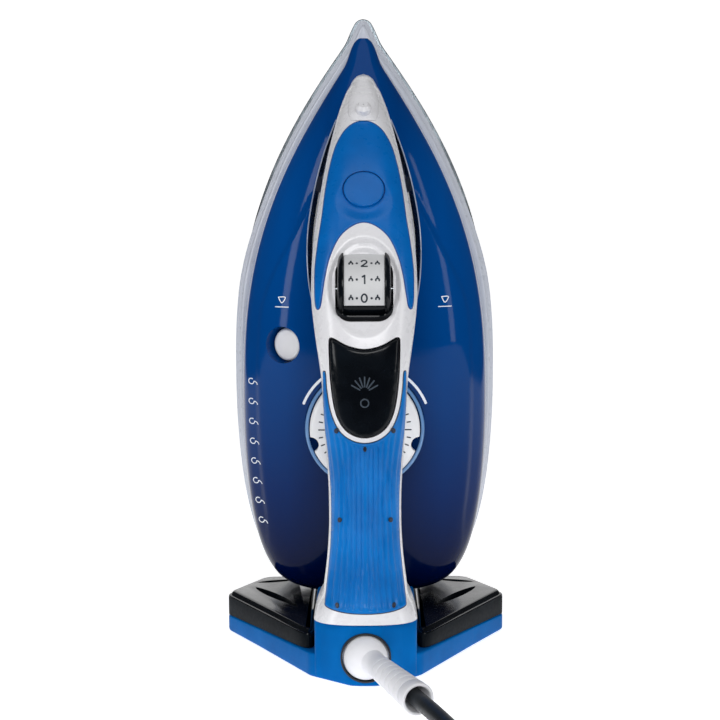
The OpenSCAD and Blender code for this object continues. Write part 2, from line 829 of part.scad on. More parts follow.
// Cord ----------------------------------------------------------------------
module swivel_collar() {
    color("black") translate([0, -73.25, ball_at.z]) rotate([90, 0, 0]) difference() {
        cylinder(d = 21.8, h = 1.5);
        translate([0, 0, -1]) cylinder(d = ball_d + 0.2, h = 4);
    }
}

module cord_guard() {
    rib_from = 18;
    color("white") translate(ball_at) rotate([0, 0, guard_turn]) rotate([90 + guard_drop, 0, 0]) {
        sphere(d = ball_d - 0.2, $fn = 64);
        rotate_extrude() polygon(concat(
            [[0, 4], [5.6, 4], [5.6, 11], [4.8, 14]],
            [for (i = [0:8], k = [0, 1]) [4.9 + 0.2 * i + 0.5 * k, rib_from - 2 + 3.8 * i + 1.9 * k]],
            [[6.75, guard_len], [0, guard_len]]
        ));
    }
}

module cord() {
    color("black") sweep(lead_route, cord_r, 10);
    color("black") sweep(tail_route, cord_r, 10);
}

module cord_coil() {
    color("black") translate([coil_at.x, coil_at.y, coil_low_z]) rotate_extrude(angle = 360) polygon([
        [coil_in_r + 1.5, 0], [coil_out_r - 1.5, 0], [coil_out_r, 1.5], [coil_out_r, coil_h - 1.5],
        [coil_out_r - 1.5, coil_h], [coil_in_r + 1.5, coil_h], [coil_in_r, coil_h - 1.5], [coil_in_r, 1.5]
    ]);
}

module coil_tie() {
    mid_r = (coil_in_r + coil_out_r) / 2;
    color("dimgray") translate([coil_at.x - mid_r, coil_at.y, 0]) difference() {
        translate([-15.8, -4, 0]) cube([31.6, 8, coil_h + 1.6]);
        translate([-15, -5, coil_low_z - 0.02]) cube([30, 10, coil_h + 0.04]);
    }
}

module plug_axis() {
    translate(plug_at) rotate([0, 0, plug_turn]) rotate([0, 90 - plug_tilt, 0]) children();
}

module plug_body() {
    color("black") plug_axis() rotate_extrude() polygon([
        [0, 0], [4.2, 0], [5.2, 14], [7, 20], [13, 27], [17.4, 36], [18.4, 46], [17.6, 47], [0, 47]
    ]);
}

module plug_pins() {
    color("silver") plug_axis() for (s = [-1, 1]) translate([0, 9.5 * s, 47 + eps]) {
        cylinder(d = 4.8, h = 17);
        translate([0, 0, 17 - eps]) cylinder(d1 = 4.8, d2 = 2.8, h = 2);
    }
}

soleplate();
heater_casting();
heating_element();
chamber_cover();
thermostat();
thermal_fuse();
skirt();
skirt_screws();
tank_base();
tank_gasket();
tank_shell();
valve_seat();
filler_funnel();
filler_seal();
filler_door();
door_pin();
handle_upper();
handle_lower();
handle_screws();
nose_trim();
grip_inlay();
grip_studs();
spray_nozzle();
spray_tube();
wheel_bracket();
wheel_axle();
steam_wheel();
wheel_label();
valve_rod();
valve_spring();
steam_button();
button_pin();
pump_body();
pump_piston();
pump_spring();
temperature_dial();
dial_shaft();
dial_ring();
self_clean_guide();
self_clean_button();
self_clean_spring();
rear_cover();
heel_rest_left();
heel_rest_right();
cover_screws();
terminal_block();
indicator_lamp();
indicator_lens();
swivel_collar();
cord_guard();
cord();
cord_coil();
coil_tie();
plug_body();
plug_pins();
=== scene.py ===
import math

import bmesh
import bpy
import numpy as np
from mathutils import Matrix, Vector
from mathutils.geometry import delaunay_2d_cdt


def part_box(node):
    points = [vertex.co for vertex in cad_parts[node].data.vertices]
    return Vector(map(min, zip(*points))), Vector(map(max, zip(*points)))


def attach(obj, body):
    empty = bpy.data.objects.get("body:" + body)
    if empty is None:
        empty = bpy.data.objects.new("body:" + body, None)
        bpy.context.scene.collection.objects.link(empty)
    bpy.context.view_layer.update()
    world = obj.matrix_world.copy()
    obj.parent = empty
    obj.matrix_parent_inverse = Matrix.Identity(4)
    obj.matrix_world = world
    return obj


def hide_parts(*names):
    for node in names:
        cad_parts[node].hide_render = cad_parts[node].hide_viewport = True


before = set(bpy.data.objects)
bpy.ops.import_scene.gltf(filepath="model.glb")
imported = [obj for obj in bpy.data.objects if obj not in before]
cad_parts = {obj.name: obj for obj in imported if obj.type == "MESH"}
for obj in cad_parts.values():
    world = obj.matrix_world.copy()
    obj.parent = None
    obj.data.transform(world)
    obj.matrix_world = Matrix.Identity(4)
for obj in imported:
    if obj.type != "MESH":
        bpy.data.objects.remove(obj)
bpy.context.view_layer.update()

# ---- Camera and mains cord come first ----
MM = 0.001


def low(node):
    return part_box(node)[0] / MM


def high(node):
    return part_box(node)[1] / MM


def add_camera():
    data = bpy.data.cameras.new("camera")
    data.sensor_width = 36.0
    data.lens = 101.15
    data.shift_x = -0.005
    camera = bpy.data.objects.new("camera", data)
    bpy.context.scene.collection.objects.link(camera)
    camera.location = (0, -0.915, 0.2282)
    camera.rotation_euler = (math.radians(84), math.radians(0.25), 0)
    bpy.context.scene.camera = camera


# Cord route in millimetres, as in the CAD source: guard's mouth to the coil, the coil, coil to the plug
CORD_R = 3.5
BALL = Vector((0, -71, 12.5))
MOUTH = Vector((21, -124, 8.2))
LEAD_ROUTE = [
    (26.6, -138, 6.9), (32.2, -153, 5.4), (37.4, -168, 4.2), (42, -183, 3.7), (45.8, -198, 3.6),
    (48.2, -213, 3.8)
]
TAIL_ROUTE = [
    (43.1, -261.4, 11.3), (40.4, -269, 11), (37.6, -276.6, 9.9), (33.8, -286.9, 7.5), (26.8, -299, 4.6),
    (16.3, -307.8, 3.7), (3.3, -312.6, 4.1), (-3.7, -313.2, 5.6)
]
COIL_AT = Vector((-3.3, -236))
COIL_R = (31.1, 52.3)
COIL_TURNS = 3 + 10 / 360
COIL_Z = (4.3, 11.3)
COIL_CLIMB = 0.14
TURN_POINTS = 16
CORD_START = MOUTH + (BALL - MOUTH).normalized() * 9
PLUG_AT = Vector((-3.7, -313.2, 5.6))
PLUG_TURN = 180
PLUG_TILT = 18


def coil_points():
    """Bottom layer winding in, a climb on the inside, and the top layer winding out, all clockwise"""
    inner, outer = COIL_R
    rise = (COIL_Z[1] - COIL_Z[0]) / 2
    count = int(COIL_TURNS * TURN_POINTS)
    points = []
    for layer in (0, 1):
        for i in range(count + layer):
            share = i / count
            turns = COIL_TURNS * (layer + share)
            radius = outer + (inner - outer) * (share if layer == 0 else 1 - share)
            z = COIL_Z[layer]
            if layer == 0:
                z += rise * max(0.0, (share - 1 + COIL_CLIMB) / COIL_CLIMB) ** 2
            else:
                z -= rise * max(0.0, 1 - share / COIL_CLIMB) ** 2
            angle = -2 * math.pi * turns
            points.append((COIL_AT.x + radius * math.cos(angle), COIL_AT.y + radius * math.sin(angle), z))
    return points


def cord_points():
    return [tuple(CORD_START), tuple(MOUTH), *LEAD_ROUTE, *coil_points(), *TAIL_ROUTE]


def add_cord():
    data = bpy.data.curves.new("mains_cord", "CURVE")
    data.dimensions = "3D"
    data.bevel_depth = CORD_R * MM
    data.bevel_resolution = 5
    data.resolution_u = 6
    data.use_fill_caps = True
    points = cord_points()
    spline = data.splines.new("BEZIER")
    spline.bezier_points.add(len(points) - 1)
    for knot, point in zip(spline.bezier_points, points):
        knot.co = Vector(point) * MM
        knot.handle_left_type = knot.handle_right_type = "AUTO"
    cord = bpy.data.objects.new("mains_cord", data)
    bpy.context.scene.collection.objects.link(cord)
    return cord


# ---- Materials ----
def rgb(code):
    """Scene-linear colour from a six-digit code"""
    parts = [int(code[i:i + 2], 16) / 255 for i in (0, 2, 4)]
    return tuple(c / 12.92 if c <= 0.04045 else ((c + 0.055) / 1.055) ** 2.4 for c in parts) + (1.0,)


FINISHES = {}


class Finish:
    """A node material whose parts are added one by one, all in object coordinates; the keyword values
    are shader inputs with underscores for spaces"""

    def __init__(self, name, **values):
        self.material = FINISHES[name] = bpy.data.materials.new("finish_" + name)
        self.material.use_nodes = True
        tree = self.material.node_tree
        self.nodes, self.links = tree.nodes, tree.links
        self.shader = self.nodes["Principled BSDF"]
        for key, value in values.items():
            self.shader.inputs[key.replace("_", " ").title().replace("Ior", "IOR")].default_value = value
        self.where = self.nodes.new("ShaderNodeTexCoord").outputs["Object"]

    def add(self, kind, **settings):
        node = self.nodes.new(kind)
        for key, value in settings.items():
            setattr(node, key, value)
        return node

    def noise(self, scale, detail=3.0, stretch=(1, 1, 1)):
        mapping = self.add("ShaderNodeMapping")
        mapping.inputs["Scale"].default_value = stretch
        noise = self.add("ShaderNodeTexNoise")
        noise.inputs["Scale"].default_value = scale
        noise.inputs["Detail"].default_value = detail
        self.links.new(self.where, mapping.inputs["Vector"])
        self.links.new(mapping.outputs["Vector"], noise.inputs["Vector"])
        return noise.outputs["Fac"]

    def spread(self, source, out_low, out_high, in_low=0.3, in_high=0.7):
        node = self.add("ShaderNodeMapRange")
        limits = {"From Min": in_low, "From Max": in_high, "To Min": out_low, "To Max": out_high}
        for key, value in limits.items():
            node.inputs[key].default_value = value
        self.links.new(source, node.inputs["Value"])
        return node.outputs["Result"]

    def rough(self, scale, smoothest, roughest, stretch=(1, 1, 1)):
        result = self.spread(self.noise(scale, 4.0, stretch), smoothest, roughest)
        self.links.new(result, self.shader.inputs["Roughness"])
        return self

    def ramp(self, source, *stops):
        ramp = self.add("ShaderNodeValToRGB")
        first, last = ramp.color_ramp.elements
        first.position, first.color = stops[0][0], rgb(stops[0][1])
        last.position, last.color = stops[-1][0], rgb(stops[-1][1])
        for position, code in stops[1:-1]:
            ramp.color_ramp.elements.new(position).color = rgb(code)
        self.links.new(source, ramp.inputs["Fac"])
        return ramp.outputs["Color"]

    def colour(self, output):
        self.links.new(output, self.shader.inputs["Base Color"])
        return self

    def tone(self, scale, dark, light, stretch=(1, 1, 1)):
        return self.colour(self.ramp(self.noise(scale, 3.0, stretch), (0.35, dark), (0.65, light)))

    def bump(self, scale, depth_mm, stretch=(1, 1, 1), strength=0.5):
        bump = self.add("ShaderNodeBump")
        bump.inputs["Distance"].default_value = depth_mm * MM
        bump.inputs["Strength"].default_value = strength
        self.links.new(self.noise(scale, 4.0, stretch), bump.inputs["Height"])
        self.links.new(bump.outputs["Normal"], self.shader.inputs["Normal"])
        return self

    def coordinate(self, axis):
        split = self.add("ShaderNodeSeparateXYZ")
        self.links.new(self.where, split.inputs["Vector"])
        return split.outputs[axis]

    def maths(self, operation, *sources):
        node = self.add("ShaderNodeMath", operation=operation)
        for source, socket in zip(sources, node.inputs):
            self.links.new(source, socket)
        return node.outputs["Value"]


def plastic(name, dark, light, smoothest, roughest, grain=700, depth=0.03, **values):
    finish = Finish(name, **values).tone(60, dark, light).rough(grain * 0.5, smoothest, roughest)
    return finish.bump(grain, depth * 0.06, strength=0.1)


def metal(name, dark, light, smoothest, roughest, stretch=(1, 1, 1)):
    finish = Finish(name, metallic=1.0).tone(180, dark, light, stretch)
    return finish.rough(500, smoothest, roughest, stretch).bump(900, 0.02, stretch)


# The Mix node's colour sockets share their names with its number sockets, so they are taken by place
MIX_COLOUR_A = 6
MIX_COLOUR_B = 7
MIX_COLOUR_OUT = 2


def tank_finish_with_painted_shade():
    """Tank colour with painted shade: darker towards the heel and darker in the middle behind the handle,
    where shade falls
    """
    finish = Finish("blue_tank", coat_weight=0.08, coat_roughness=0.05, specular_ior_level=0.07)
    # Painted shade: the colour ramp runs darker towards the heel, the low end of the standing iron
    height = finish.spread(finish.coordinate("Z"), 0.0, 1.0, 0.02, 0.28)
    cloud = finish.spread(finish.noise(9, 2.0), -0.03, 0.03)
    stops = [(0.03, "000c36"), (0.2, "00265e"), (0.42, "003e80"), (0.62, "00468e"), (0.95, "0052a2")]
    depth = finish.ramp(finish.maths("ADD", height, cloud), *stops)
    # Painted shade: the colour is multiplied darker in the middle, beside and behind the handle
    middle = finish.spread(finish.maths("ABSOLUTE", finish.coordinate("X")), 0.9, 0.0, 0.016, 0.036)
    shade = finish.add("ShaderNodeMix", data_type="RGBA", blend_type="MULTIPLY")
    shade.inputs[MIX_COLOUR_B].default_value = (0.45, 0.5, 0.55, 1)
    finish.links.new(middle, shade.inputs["Factor"])
    finish.links.new(depth, shade.inputs[MIX_COLOUR_A])
    finish.colour(shade.outputs[MIX_COLOUR_OUT]).rough(220, 0.07, 0.13).bump(30, 0.12, strength=0.15)


def make_finishes():
    tank_finish_with_painted_shade()
    plastic("white_plastic", "e6e6ea", "e8e8ec", 0.26, 0.3, coat_weight=0.2, coat_roughness=0.12)
    plastic("white_skirt", "c2c7d3", "c8cdd9", 0.26, 0.32, coat_weight=0.15, coat_roughness=0.12)
    # Painted shade: the label is greyer than white plastic, standing in for the shade on the wheel's drum
    plastic("white_label", "cfd0d2", "d6d7d9", 0.4, 0.5)
    plastic("white_dial", "e6e8ec", "eff0f3", 0.3, 0.4, coat_weight=0.2)
    plastic("white_button", "e0e0e3", "e9e9ec", 0.3, 0.4, coat_weight=0.2)
    plastic("white_guard", "dcdde2", "e8e8ec", 0.42, 0.55, grain=900, depth=0.05)
    plastic("ivory_plastic", "d8ceb4", "e4dbc4", 0.4, 0.5)
    plastic("bright_blue_trim", "0062b2", "006abe", 0.26, 0.34, coat_weight=0.15, coat_roughness=0.15,
            specular_ior_level=0.2)
    plastic("blue_grip", "0066b4", "0074c6", 0.3, 0.42, grain=1500, depth=0.04, coat_weight=0.1,
            specular_ior_level=0.15)
    plastic("metallic_blue", "005ca4", "0066b2", 0.32, 0.42, grain=1800, depth=0.03, specular_ior_level=0.02)
    plastic("dial_ring_blue", "5f8dc2", "6d98ca", 0.12, 0.2, coat_weight=0.6)
    plastic("gloss_black", "070a0f", "0e1319", 0.12, 0.2, coat_weight=0.15, coat_roughness=0.08,
            specular_ior_level=0.1)
    plastic("satin_black", "0b1015", "12181e", 0.36, 0.48, grain=1200, depth=0.05, specular_ior_level=0.03)
    # Painted shade: near-black blue for the sheets in the hollows beside the nose
    plastic("recess_painted_shade", "000d26", "00142f", 0.2, 0.3, coat_weight=0.4)
    # Painted highlight: light grey for the beads along the hollows' rims
    plastic("rim_painted_highlight", "8d97ad", "a3adc2", 0.2, 0.3, coat_weight=0.4)
    plastic("dark_studs", "06132a", "0a1c38", 0.3, 0.4)
    plastic("mark_white", "e4ecf8", "f2f6fc", 0.4, 0.5)
    plastic("mark_dark", "16202c", "202c3a", 0.4, 0.5)
    plastic("mark_blue", "003a86", "04448f", 0.3, 0.4)
    plastic("mark_grey", "3a444f", "46515d", 0.3, 0.4)
    plastic("black_rubber", "141619", "1d1f23", 0.5, 0.65, grain=900, depth=0.06)
    plastic("black_cord", "101418", "1b2127", 0.4, 0.52, grain=1100, depth=0.06)
    plastic("black_tie", "17191c", "25282c", 0.7, 0.85, grain=2600, depth=0.2)
    plastic("black_plug", "0f1215", "191d21", 0.4, 0.52, grain=1000, depth=0.06)
    plastic("clear_tube", "c6d2d6", "d8e2e5", 0.1, 0.18, alpha=0.7)
    plastic("amber_lamp", "c96a12", "e07f22", 0.15, 0.25)
    plastic("smoked_lens", "101a26", "1a2736", 0.06, 0.12, coat_weight=0.8)
    metal("steel_sole", "8a949c", "a2adb5", 0.22, 0.34, (1, 1, 0.05))
    metal("cast_aluminium", "9a9d9f", "b4b7b9", 0.45, 0.6)
    metal("element_steel", "55585b", "6a6e72", 0.3, 0.4, (1, 1, 0.2))
    metal("steel_parts", "9ea3a8", "b8bdc2", 0.2, 0.32)
    metal("brass_parts", "b08d3a", "c7a34c", 0.25, 0.38)
    metal("plug_metal", "b6b4ae", "cbc9c4", 0.16, 0.26)


# The finish of each CAD node that is shown as it is
CAD_FINISHES = {
    "cast_aluminium": ["heater_casting", "chamber_cover"],
    "element_steel": ["heating_element"],
    "steel_parts": [
        "skirt_screws", "door_pin", "handle_screws", "wheel_axle", "valve_rod", "valve_spring", "button_pin",
        "pump_spring", "dial_shaft", "self_clean_spring", "cover_screws"],
    "brass_parts": ["valve_seat", "thermostat"],
    "ivory_plastic": ["thermal_fuse", "terminal_block"],
    "white_plastic": ["filler_funnel", "pump_body", "self_clean_guide", "wheel_bracket", "spray_nozzle"],
    "black_rubber": ["filler_seal", "tank_gasket", "pump_piston"],
    "blue_tank": ["tank_base"],
    "clear_tube": ["spray_tube"],
    "amber_lamp": ["indicator_lamp"],
    "smoked_lens": ["indicator_lens"],
    "plug_metal": ["plug_pins"],
}


def dress_cad_nodes():
    for finish, nodes in CAD_FINISHES.items():
        for node in nodes:
            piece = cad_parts[node]
            piece.data.materials.clear()
            piece.data.materials.append(FINISHES[finish])


# ---- Meshes ----
FACE_Y = high("soleplate").y


def rows(*parts):
    """Points from their coordinates, each one an array or a single number for all of them"""
    return np.stack(np.broadcast_arrays(*parts), -1).astype(float)


def stand(points):
    """From the lying frame (x across, l from the heel, h above the ironing face, mm) to the row frame"""
    p = np.asarray(points, float)
    return np.stack([p[..., 0], FACE_Y - p[..., 2], p[..., 1]], -1) * MM


def finish_mesh(mesh, sharp):
    work = bmesh.new()
    work.from_mesh(mesh)
    bmesh.ops.remove_doubles(work, verts=work.verts, dist=1e-7)
    bmesh.ops.recalc_face_normals(work, faces=work.faces)
    work.to_mesh(mesh)
    work.free()
    mesh.shade_smooth()
    mesh.set_sharp_from_angle(angle=math.radians(sharp))


def make(name, points, faces, sharp=32):
    mesh = bpy.data.meshes.new(name)
    flat = np.asarray(points, float).reshape(-1, 3)
    mesh.from_pydata(flat.tolist(), [], [tuple(int(i) for i in f) for f in faces])
    finish_mesh(mesh, sharp)
    piece = bpy.data.objects.new(name, mesh)
    bpy.context.scene.collection.objects.link(piece)
    return piece


def place(piece, body, finish, *nodes, slot=None):
    """Gives a piece its finish and its body, and hides the CAD nodes that it stands for"""
    piece.data.materials.clear()
    piece.data.materials.append(FINISHES[finish])
    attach(piece, body)
    if nodes:
        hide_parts(*nodes)
    return piece


def ring_faces(rows, count, closed=True, cap_first=True, cap_last=True):
    faces = []
    for i in range(rows - 1):
        for j in range(count if closed else count - 1):
            k = (j + 1) % count
            faces.append((i * count + j, i * count + k, (i + 1) * count + k, (i + 1) * count + j))
    if cap_first:
        faces.append(tuple(range(count)))
    if cap_last:
        faces.append(tuple((rows - 1) * count + j for j in range(count)))
    return faces


def loft(name, rings, sharp=32, **caps):
    return make(name, rings, ring_faces(len(rings), len(rings[0]), **caps), sharp)


def full_turn(count):
    return np.linspace(0, 2 * math.pi, count, endpoint=False)


def revolve(profile, count=96):
    """Rings of a turned shape about local z from (radius, z) pairs"""
    turn = full_turn(count)
    return np.array([rows(r * np.cos(turn), r * np.sin(turn), z) for r, z in profile])


def set_on(points, origin, axis_x, axis_z):
    """Local points to the row frame: origin in millimetres, with the local x and z directions"""
    z = Vector(axis_z).normalized()
    x = (Vector(axis_x) - Vector(axis_x).dot(z) * z).normalized()
    y = z.cross(x)
    turn = np.array([x, y, z])
    return (np.asarray(points, float) @ turn + np.array(origin)) * MM


def cut(piece, *cutters, operation="DIFFERENCE", sharp=32):
    """Exact Boolean with each cutter in turn, which is then thrown away"""
    for cutter in cutters:
        modifier = piece.modifiers.new("cut", "BOOLEAN")
        modifier.object = cutter
        modifier.operation = operation
        modifier.solver = "EXACT"
    bpy.context.view_layer.update()
    shaped = bpy.data.meshes.new_from_object(piece.evaluated_get(bpy.context.evaluated_depsgraph_get()))
    piece.modifiers.clear()
    old, piece.data = piece.data, shaped
    bpy.data.meshes.remove(old)
    shaped.name = piece.name
    finish_mesh(shaped, sharp)
    for cutter in cutters:
        bpy.data.objects.remove(cutter)
    return piece


def copy_of(piece, name):
    other = piece.copy()
    other.data = piece.data.copy()
    other.name = other.data.name = name
    bpy.context.scene.collection.objects.link(other)
    return other


def join(pieces, name):
    """Joins meshes that sit at the origin into the first one"""
    work = bmesh.new()
    for piece in pieces:
        work.from_mesh(piece.data)
    for piece in pieces[1:]:
        bpy.data.objects.remove(piece)
    joined = pieces[0]
    work.to_mesh(joined.data)
    work.free()
    joined.name = joined.data.name = name
    joined.data.shade_smooth()
    joined.data.set_sharp_from_angle(angle=math.radians(50))
    return joined


def smooth(value, start, end):
    """Zero below start, one above end, and an even curve between"""
    t = np.clip((np.asarray(value, float) - start) / (end - start), 0, 1)
    return t * t * (3 - 2 * t)


def hermite(t, a, b, rise_a, rise_b):
    """Cubic from a to b that leaves and arrives with the given slopes"""
    return ((2 * t ** 3 - 3 * t ** 2 + 1) * a + (t ** 3 - 2 * t ** 2 + t) * rise_a
            + (3 * t ** 2 - 2 * t ** 3) * b + (t ** 3 - t ** 2) * rise_b)


def rounded_loop(points, steps=10, closed=True):
    """Smooth curve through given points"""
    p = np.asarray(points, float)
    n = len(p)
    out = []
    for i in range(n if closed else n - 1):
        a, b, c, d = (p[(i + k) % n] if closed else p[min(max(i + k, 0), n - 1)] for k in (-1, 0, 1, 2))
        for t in np.arange(steps) / steps:
            out.append(0.5 * (2 * b + (c - a) * t + (2 * a - 5 * b + 4 * c - d) * t ** 2
                              + (3 * b - a - 3 * c + d) * t ** 3))
    if not closed:
        out.append(p[-1])
    return np.array(out)


def mirrored(half):
    """Whole outline from the points of its right half, bottom or top centre first"""
    half = [tuple(p) for p in half]
    return half + [(-x, y) for x, y in reversed(half) if abs(x) > 0.01]


def loop_normals(loop):
    """Outward normals of a closed 2-D loop, whichever way it runs"""
    ahead, behind = np.roll(loop, -1, 0), np.roll(loop, 1, 0)
    along = ahead - behind
    normal = np.stack([along[:, 1], -along[:, 0]], -1)
    normal /= np.maximum(np.linalg.norm(normal, axis=1, keepdims=True), 1e-9)
    area = np.sum(loop[:, 0] * ahead[:, 1] - ahead[:, 0] * loop[:, 1])
    return normal if area > 0 else -normal


def grown(loop, amount):
    return loop + loop_normals(loop) * amount


def inside(points, loop):
    """Which points lie inside a closed loop"""
    x, y = points[:, 0], points[:, 1]
    result = np.zeros(len(points), bool)
    for (x0, y0), (x1, y1) in zip(loop, np.roll(loop, -1, 0)):
        crosses = (y0 > y) != (y1 > y)
        with np.errstate(divide="ignore", invalid="ignore"):
            result ^= crosses & (x < (x1 - x0) * (y - y0) / (y1 - y0) + x0)
    return result


def distance_to(points, loop):
    best = np.full(len(points), 1e9)
    for a, b in zip(loop, np.roll(loop, -1, 0)):
        d = b - a
        t = np.clip(((points - a) @ d) / max(d @ d, 1e-12), 0, 1)
        best = np.minimum(best, np.linalg.norm(points - a - t[:, None] * d, axis=1))
    return best


# ---- Plan outlines of the skirt and the tank, in the lying frame ----
TIP_R = 5.2
SKIRT = dict(
    half=high("skirt").x, wide=125.0, tip=high("soleplate").z + 0.52, stern=low("skirt").z, blunt=0.41)
TANK = dict(half=high("tank_shell").x, wide=115.0, tip=279.0, stern=21.0, blunt=0.34)


def bow(l, half, wide, tip):
    return half * (1 - ((l - wide) / (tip + 1.5 - wide)) ** 2.4) ** 1.15


def right_side(half, wide, tip, stern, blunt):
    """Right half of a pointed outline from the stern's middle to the tip"""
    turn = np.radians(np.concatenate([np.linspace(88, 60, 10), np.linspace(57, 0, 34)]))
    back = np.stack([half * np.cos(turn) ** blunt, wide - (wide - stern) * np.sin(turn) ** 0.91], -1)
    shoulder = tip - 14
    l = np.linspace(wide, shoulder, 72)[1:]
    front = np.stack([bow(l, half, wide, tip), l], -1)
    turn = np.radians(np.linspace(27, 90, 9))
    nose = np.stack([TIP_R * np.cos(turn), tip - TIP_R + TIP_R * np.sin(turn)], -1)
    t = np.linspace(0, 1, 10)[1:-1, None]
    a, b = front[-1], nose[0]
    slope_a = (front[-1] - front[-2]) / np.linalg.norm(front[-1] - front[-2])
    slope_b = (nose[1] - nose[0]) / np.linalg.norm(nose[1] - nose[0])
    reach = np.linalg.norm(b - a)
    link = hermite(t, a, b, reach * slope_a, reach * slope_b)
    return np.concatenate([[[0.0, stern]], back, front, link, nose])


SKIRT_LOOP = np.array(mirrored(right_side(**SKIRT)))


def level(loop, inset, h):
    """A ring of an outline drawn in by an even or a varying inset, at height h"""
    ring = loop - loop_normals(loop) * np.asarray(inset, float).reshape(-1, 1)
    ring[:, 0] = np.where(loop[:, 0] > 0, np.maximum(ring[:, 0], 0), np.minimum(ring[:, 0], 0))
    return stand(rows(*ring.T, h))


def add_soleplate():
    profile = [(1.5, 0), (0.8, 0.25), (0.42, 0.8), (0.4, 1.2), (0.4, 2.2), (0.7, 2.5)]
    sole = loft("sole_plate", [level(SKIRT_LOOP, inset, h) for inset, h in profile], sharp=50)
    holes = []
    for i in range(9):
        l = 150 + 12 * i
        holes += [(s * (8 + bow(l, SKIRT["half"] - 22, 125, SKIRT["tip"] - 20)), l - 8) for s in (-1, 1)]
    holes += [(0, 262)] + [(s * 40, l) for s in (-1, 1) for l in (62, 80, 98)]
    drill = [(2.6, -0.2), (2.5, 0.02), (1.6, 0.75), (1.5, 2.8)]
    points, faces = [], []
    for x, l in holes:
        rings = revolve(drill, 24) + (x, l, 0)
        faces += [tuple(i + len(points) for i in f) for f in ring_faces(len(drill), 24)]
        points += list(stand(rings).reshape(-1, 3))
    cut(sole, make("drill", points, faces), sharp=40)
    place(sole, "iron", "steel_sole", "soleplate")


def add_skirt():
    l = SKIRT_LOOP[:, 1]
    reveal = smooth(l, 160, 215)
    profile = [
        (2.4, 4.0), (0.7, 4.0), (0.2, 4.3), (0.0, 4.9), (0.0, 15.0), (0.3, 15.3), (0.3, 15.8), (0.0, 16.1),
        (0.0, 24.0), (0.1, 25.5), (0.35, 26.4), (0.9, 26.8), (1.1, 27.0), (1.2, 29.6), (1.4, 30.6),
        (2.0, 31.1), (2.3, 31.3), (2.4, 32.6), (2.7, 33.4), (3.4, 33.9), (4.2, 34.0)]
    rings = [level(SKIRT_LOOP, inset + reveal * (2.1 + 1.3 * (1 - h / 34)), h) for inset, h in profile]
    inner = [(4.2, 31.6), (2.4, 31.0)]
    rings = [level(SKIRT_LOOP, inset + reveal * 3.4, h) for inset, h in inner] + rings
    place(loft("skirt_shell", rings), "iron", "white_skirt", "skirt", slot="white_plastic")


# ---- Handle and nose: one lofted form, from which the shells and inlays are made ----
# Stations: distance from the heel, half width, top height, bottom height
HANDLE_ROWS = [
    (26.6, 22.3, 148, 58), (31, 21, 147.4, 60), (36, 18.6, 146, 74), (42, 17.8, 144.8, 98),
    (50, 16.8, 143.8, 109.5), (62, 15.8, 143.2, 112.5), (80, 15.6, 144, 112.5),
    (100, 16.6, 145.6, 112), (118, 17.8, 146.6, 111), (131, 18.6, 147, 108),
    (142, 20.1, 146.4, 98), (152, 21.5, 144.6, 80), (164, 22.7, 141.6, 60),
    (176, 22.6, 137.4, 58), (190, 21.6, 130.8, 56), (204, 19.6, 123, 54), (218, 17.2, 113.6, 50),
    (232, 14.2, 101.6, 46), (246, 10.4, 87, 42), (256, 6.6, 77, 40)
]
STERN_L = HANDLE_ROWS[0][0]
NOSE_END = 261.4
NOSE_FROM = 252.0


def through(rows):
    """Smooth curves through the columns of a table, against its first column"""
    t = np.array([r[0] for r in rows], float)
    v = np.array([r[1:] for r in rows], float)
    slope = np.gradient(v, t, axis=0)

    def value(q):
        q = np.clip(np.asarray(q, float), t[0], t[-1])
        i = np.clip(np.searchsorted(t, q, side="right") - 1, 0, len(t) - 2)
        d = (t[i + 1] - t[i])[..., None]
        s = ((q - t[i]) / (t[i + 1] - t[i]))[..., None]
        return hermite(s, v[i], v[i + 1], d * slope[i], d * slope[i + 1])

    return value


handle_size = through(HANDLE_ROWS)


def handle_section(l):
    """Half width, top, bottom and brow height at distance l, with the nose rounded off"""
    l = np.asarray(l, float)
    w, top, bottom = np.moveaxis(handle_size(l), -1, 0)
    close = np.sqrt(1 - np.clip((l - NOSE_FROM) / (NOSE_END - NOSE_FROM), 0, 0.999) ** 2)
    w = w * close
    top = 50 + (top - 50) * (0.35 + 0.65 * close)
    brow = top - np.minimum(16, 0.45 * (top - bottom))
    return w, top, bottom, brow


def dish(x, l):
    """Depth of the softly stepped dish round the steam wheel"""
    reach = np.sqrt((x / 15.8) ** 2 + ((l - 170) / 21) ** 2)
    return 2.2 * (1 - smooth(reach, 0.84, 1.0)) + 1.6 * (1 - smooth(reach, 0.62, 0.8))


def door_dip(x, l):
    """Depth of the finger recess below the filler door"""
    reach = np.sqrt((x / 13.2) ** 2 + ((l - 205.5) / 9.5) ** 2)
    return 1.7 * (1 - smooth(reach, 0.45, 1.0))


def handle_top(x, l):
    """Height of the handle's upper surface"""
    w, top, _, brow = handle_section(l)
    share = np.clip(np.abs(x) / np.maximum(w, 1e-3), 0, 0.9995)
    return brow + (top - brow) * (1 - share ** 2.667) ** 0.4 - dish(x, l) - door_dip(x, l)


def handle_rings(stations, inset, count=144):
    c, s = np.cos(full_turn(count)), np.sin(full_turn(count))
    rings = []
    for l in stations:
        w, top, bottom, brow = (float(v) for v in handle_section(l))
        w, top, bottom = max(w - inset, 0.3), top - inset, bottom + inset
        brow = min(brow, top - 0.4)
        x = w * np.sign(c) * np.abs(c) ** 0.75
        dip = dish(x, l) + door_dip(x, l)
        upper = brow + (top - brow) * np.maximum(s, 0) ** 0.8 - dip * (s > 0)
        lower = brow + (bottom - brow) * np.maximum(-s, 0) ** 0.6
        rings.append(stand(rows(x, l, np.where(s > 0, upper, lower))))
    return rings


def prism(name, loop, start, end, axis="h"):
    """Straight extrusion: of an (x, l) loop along h, or of an (l, h) loop along x"""
    u, v = loop.T
    return loft(name, [stand(rows(u, v, at) if axis == "h" else rows(at, u, v)) for at in (start, end)])


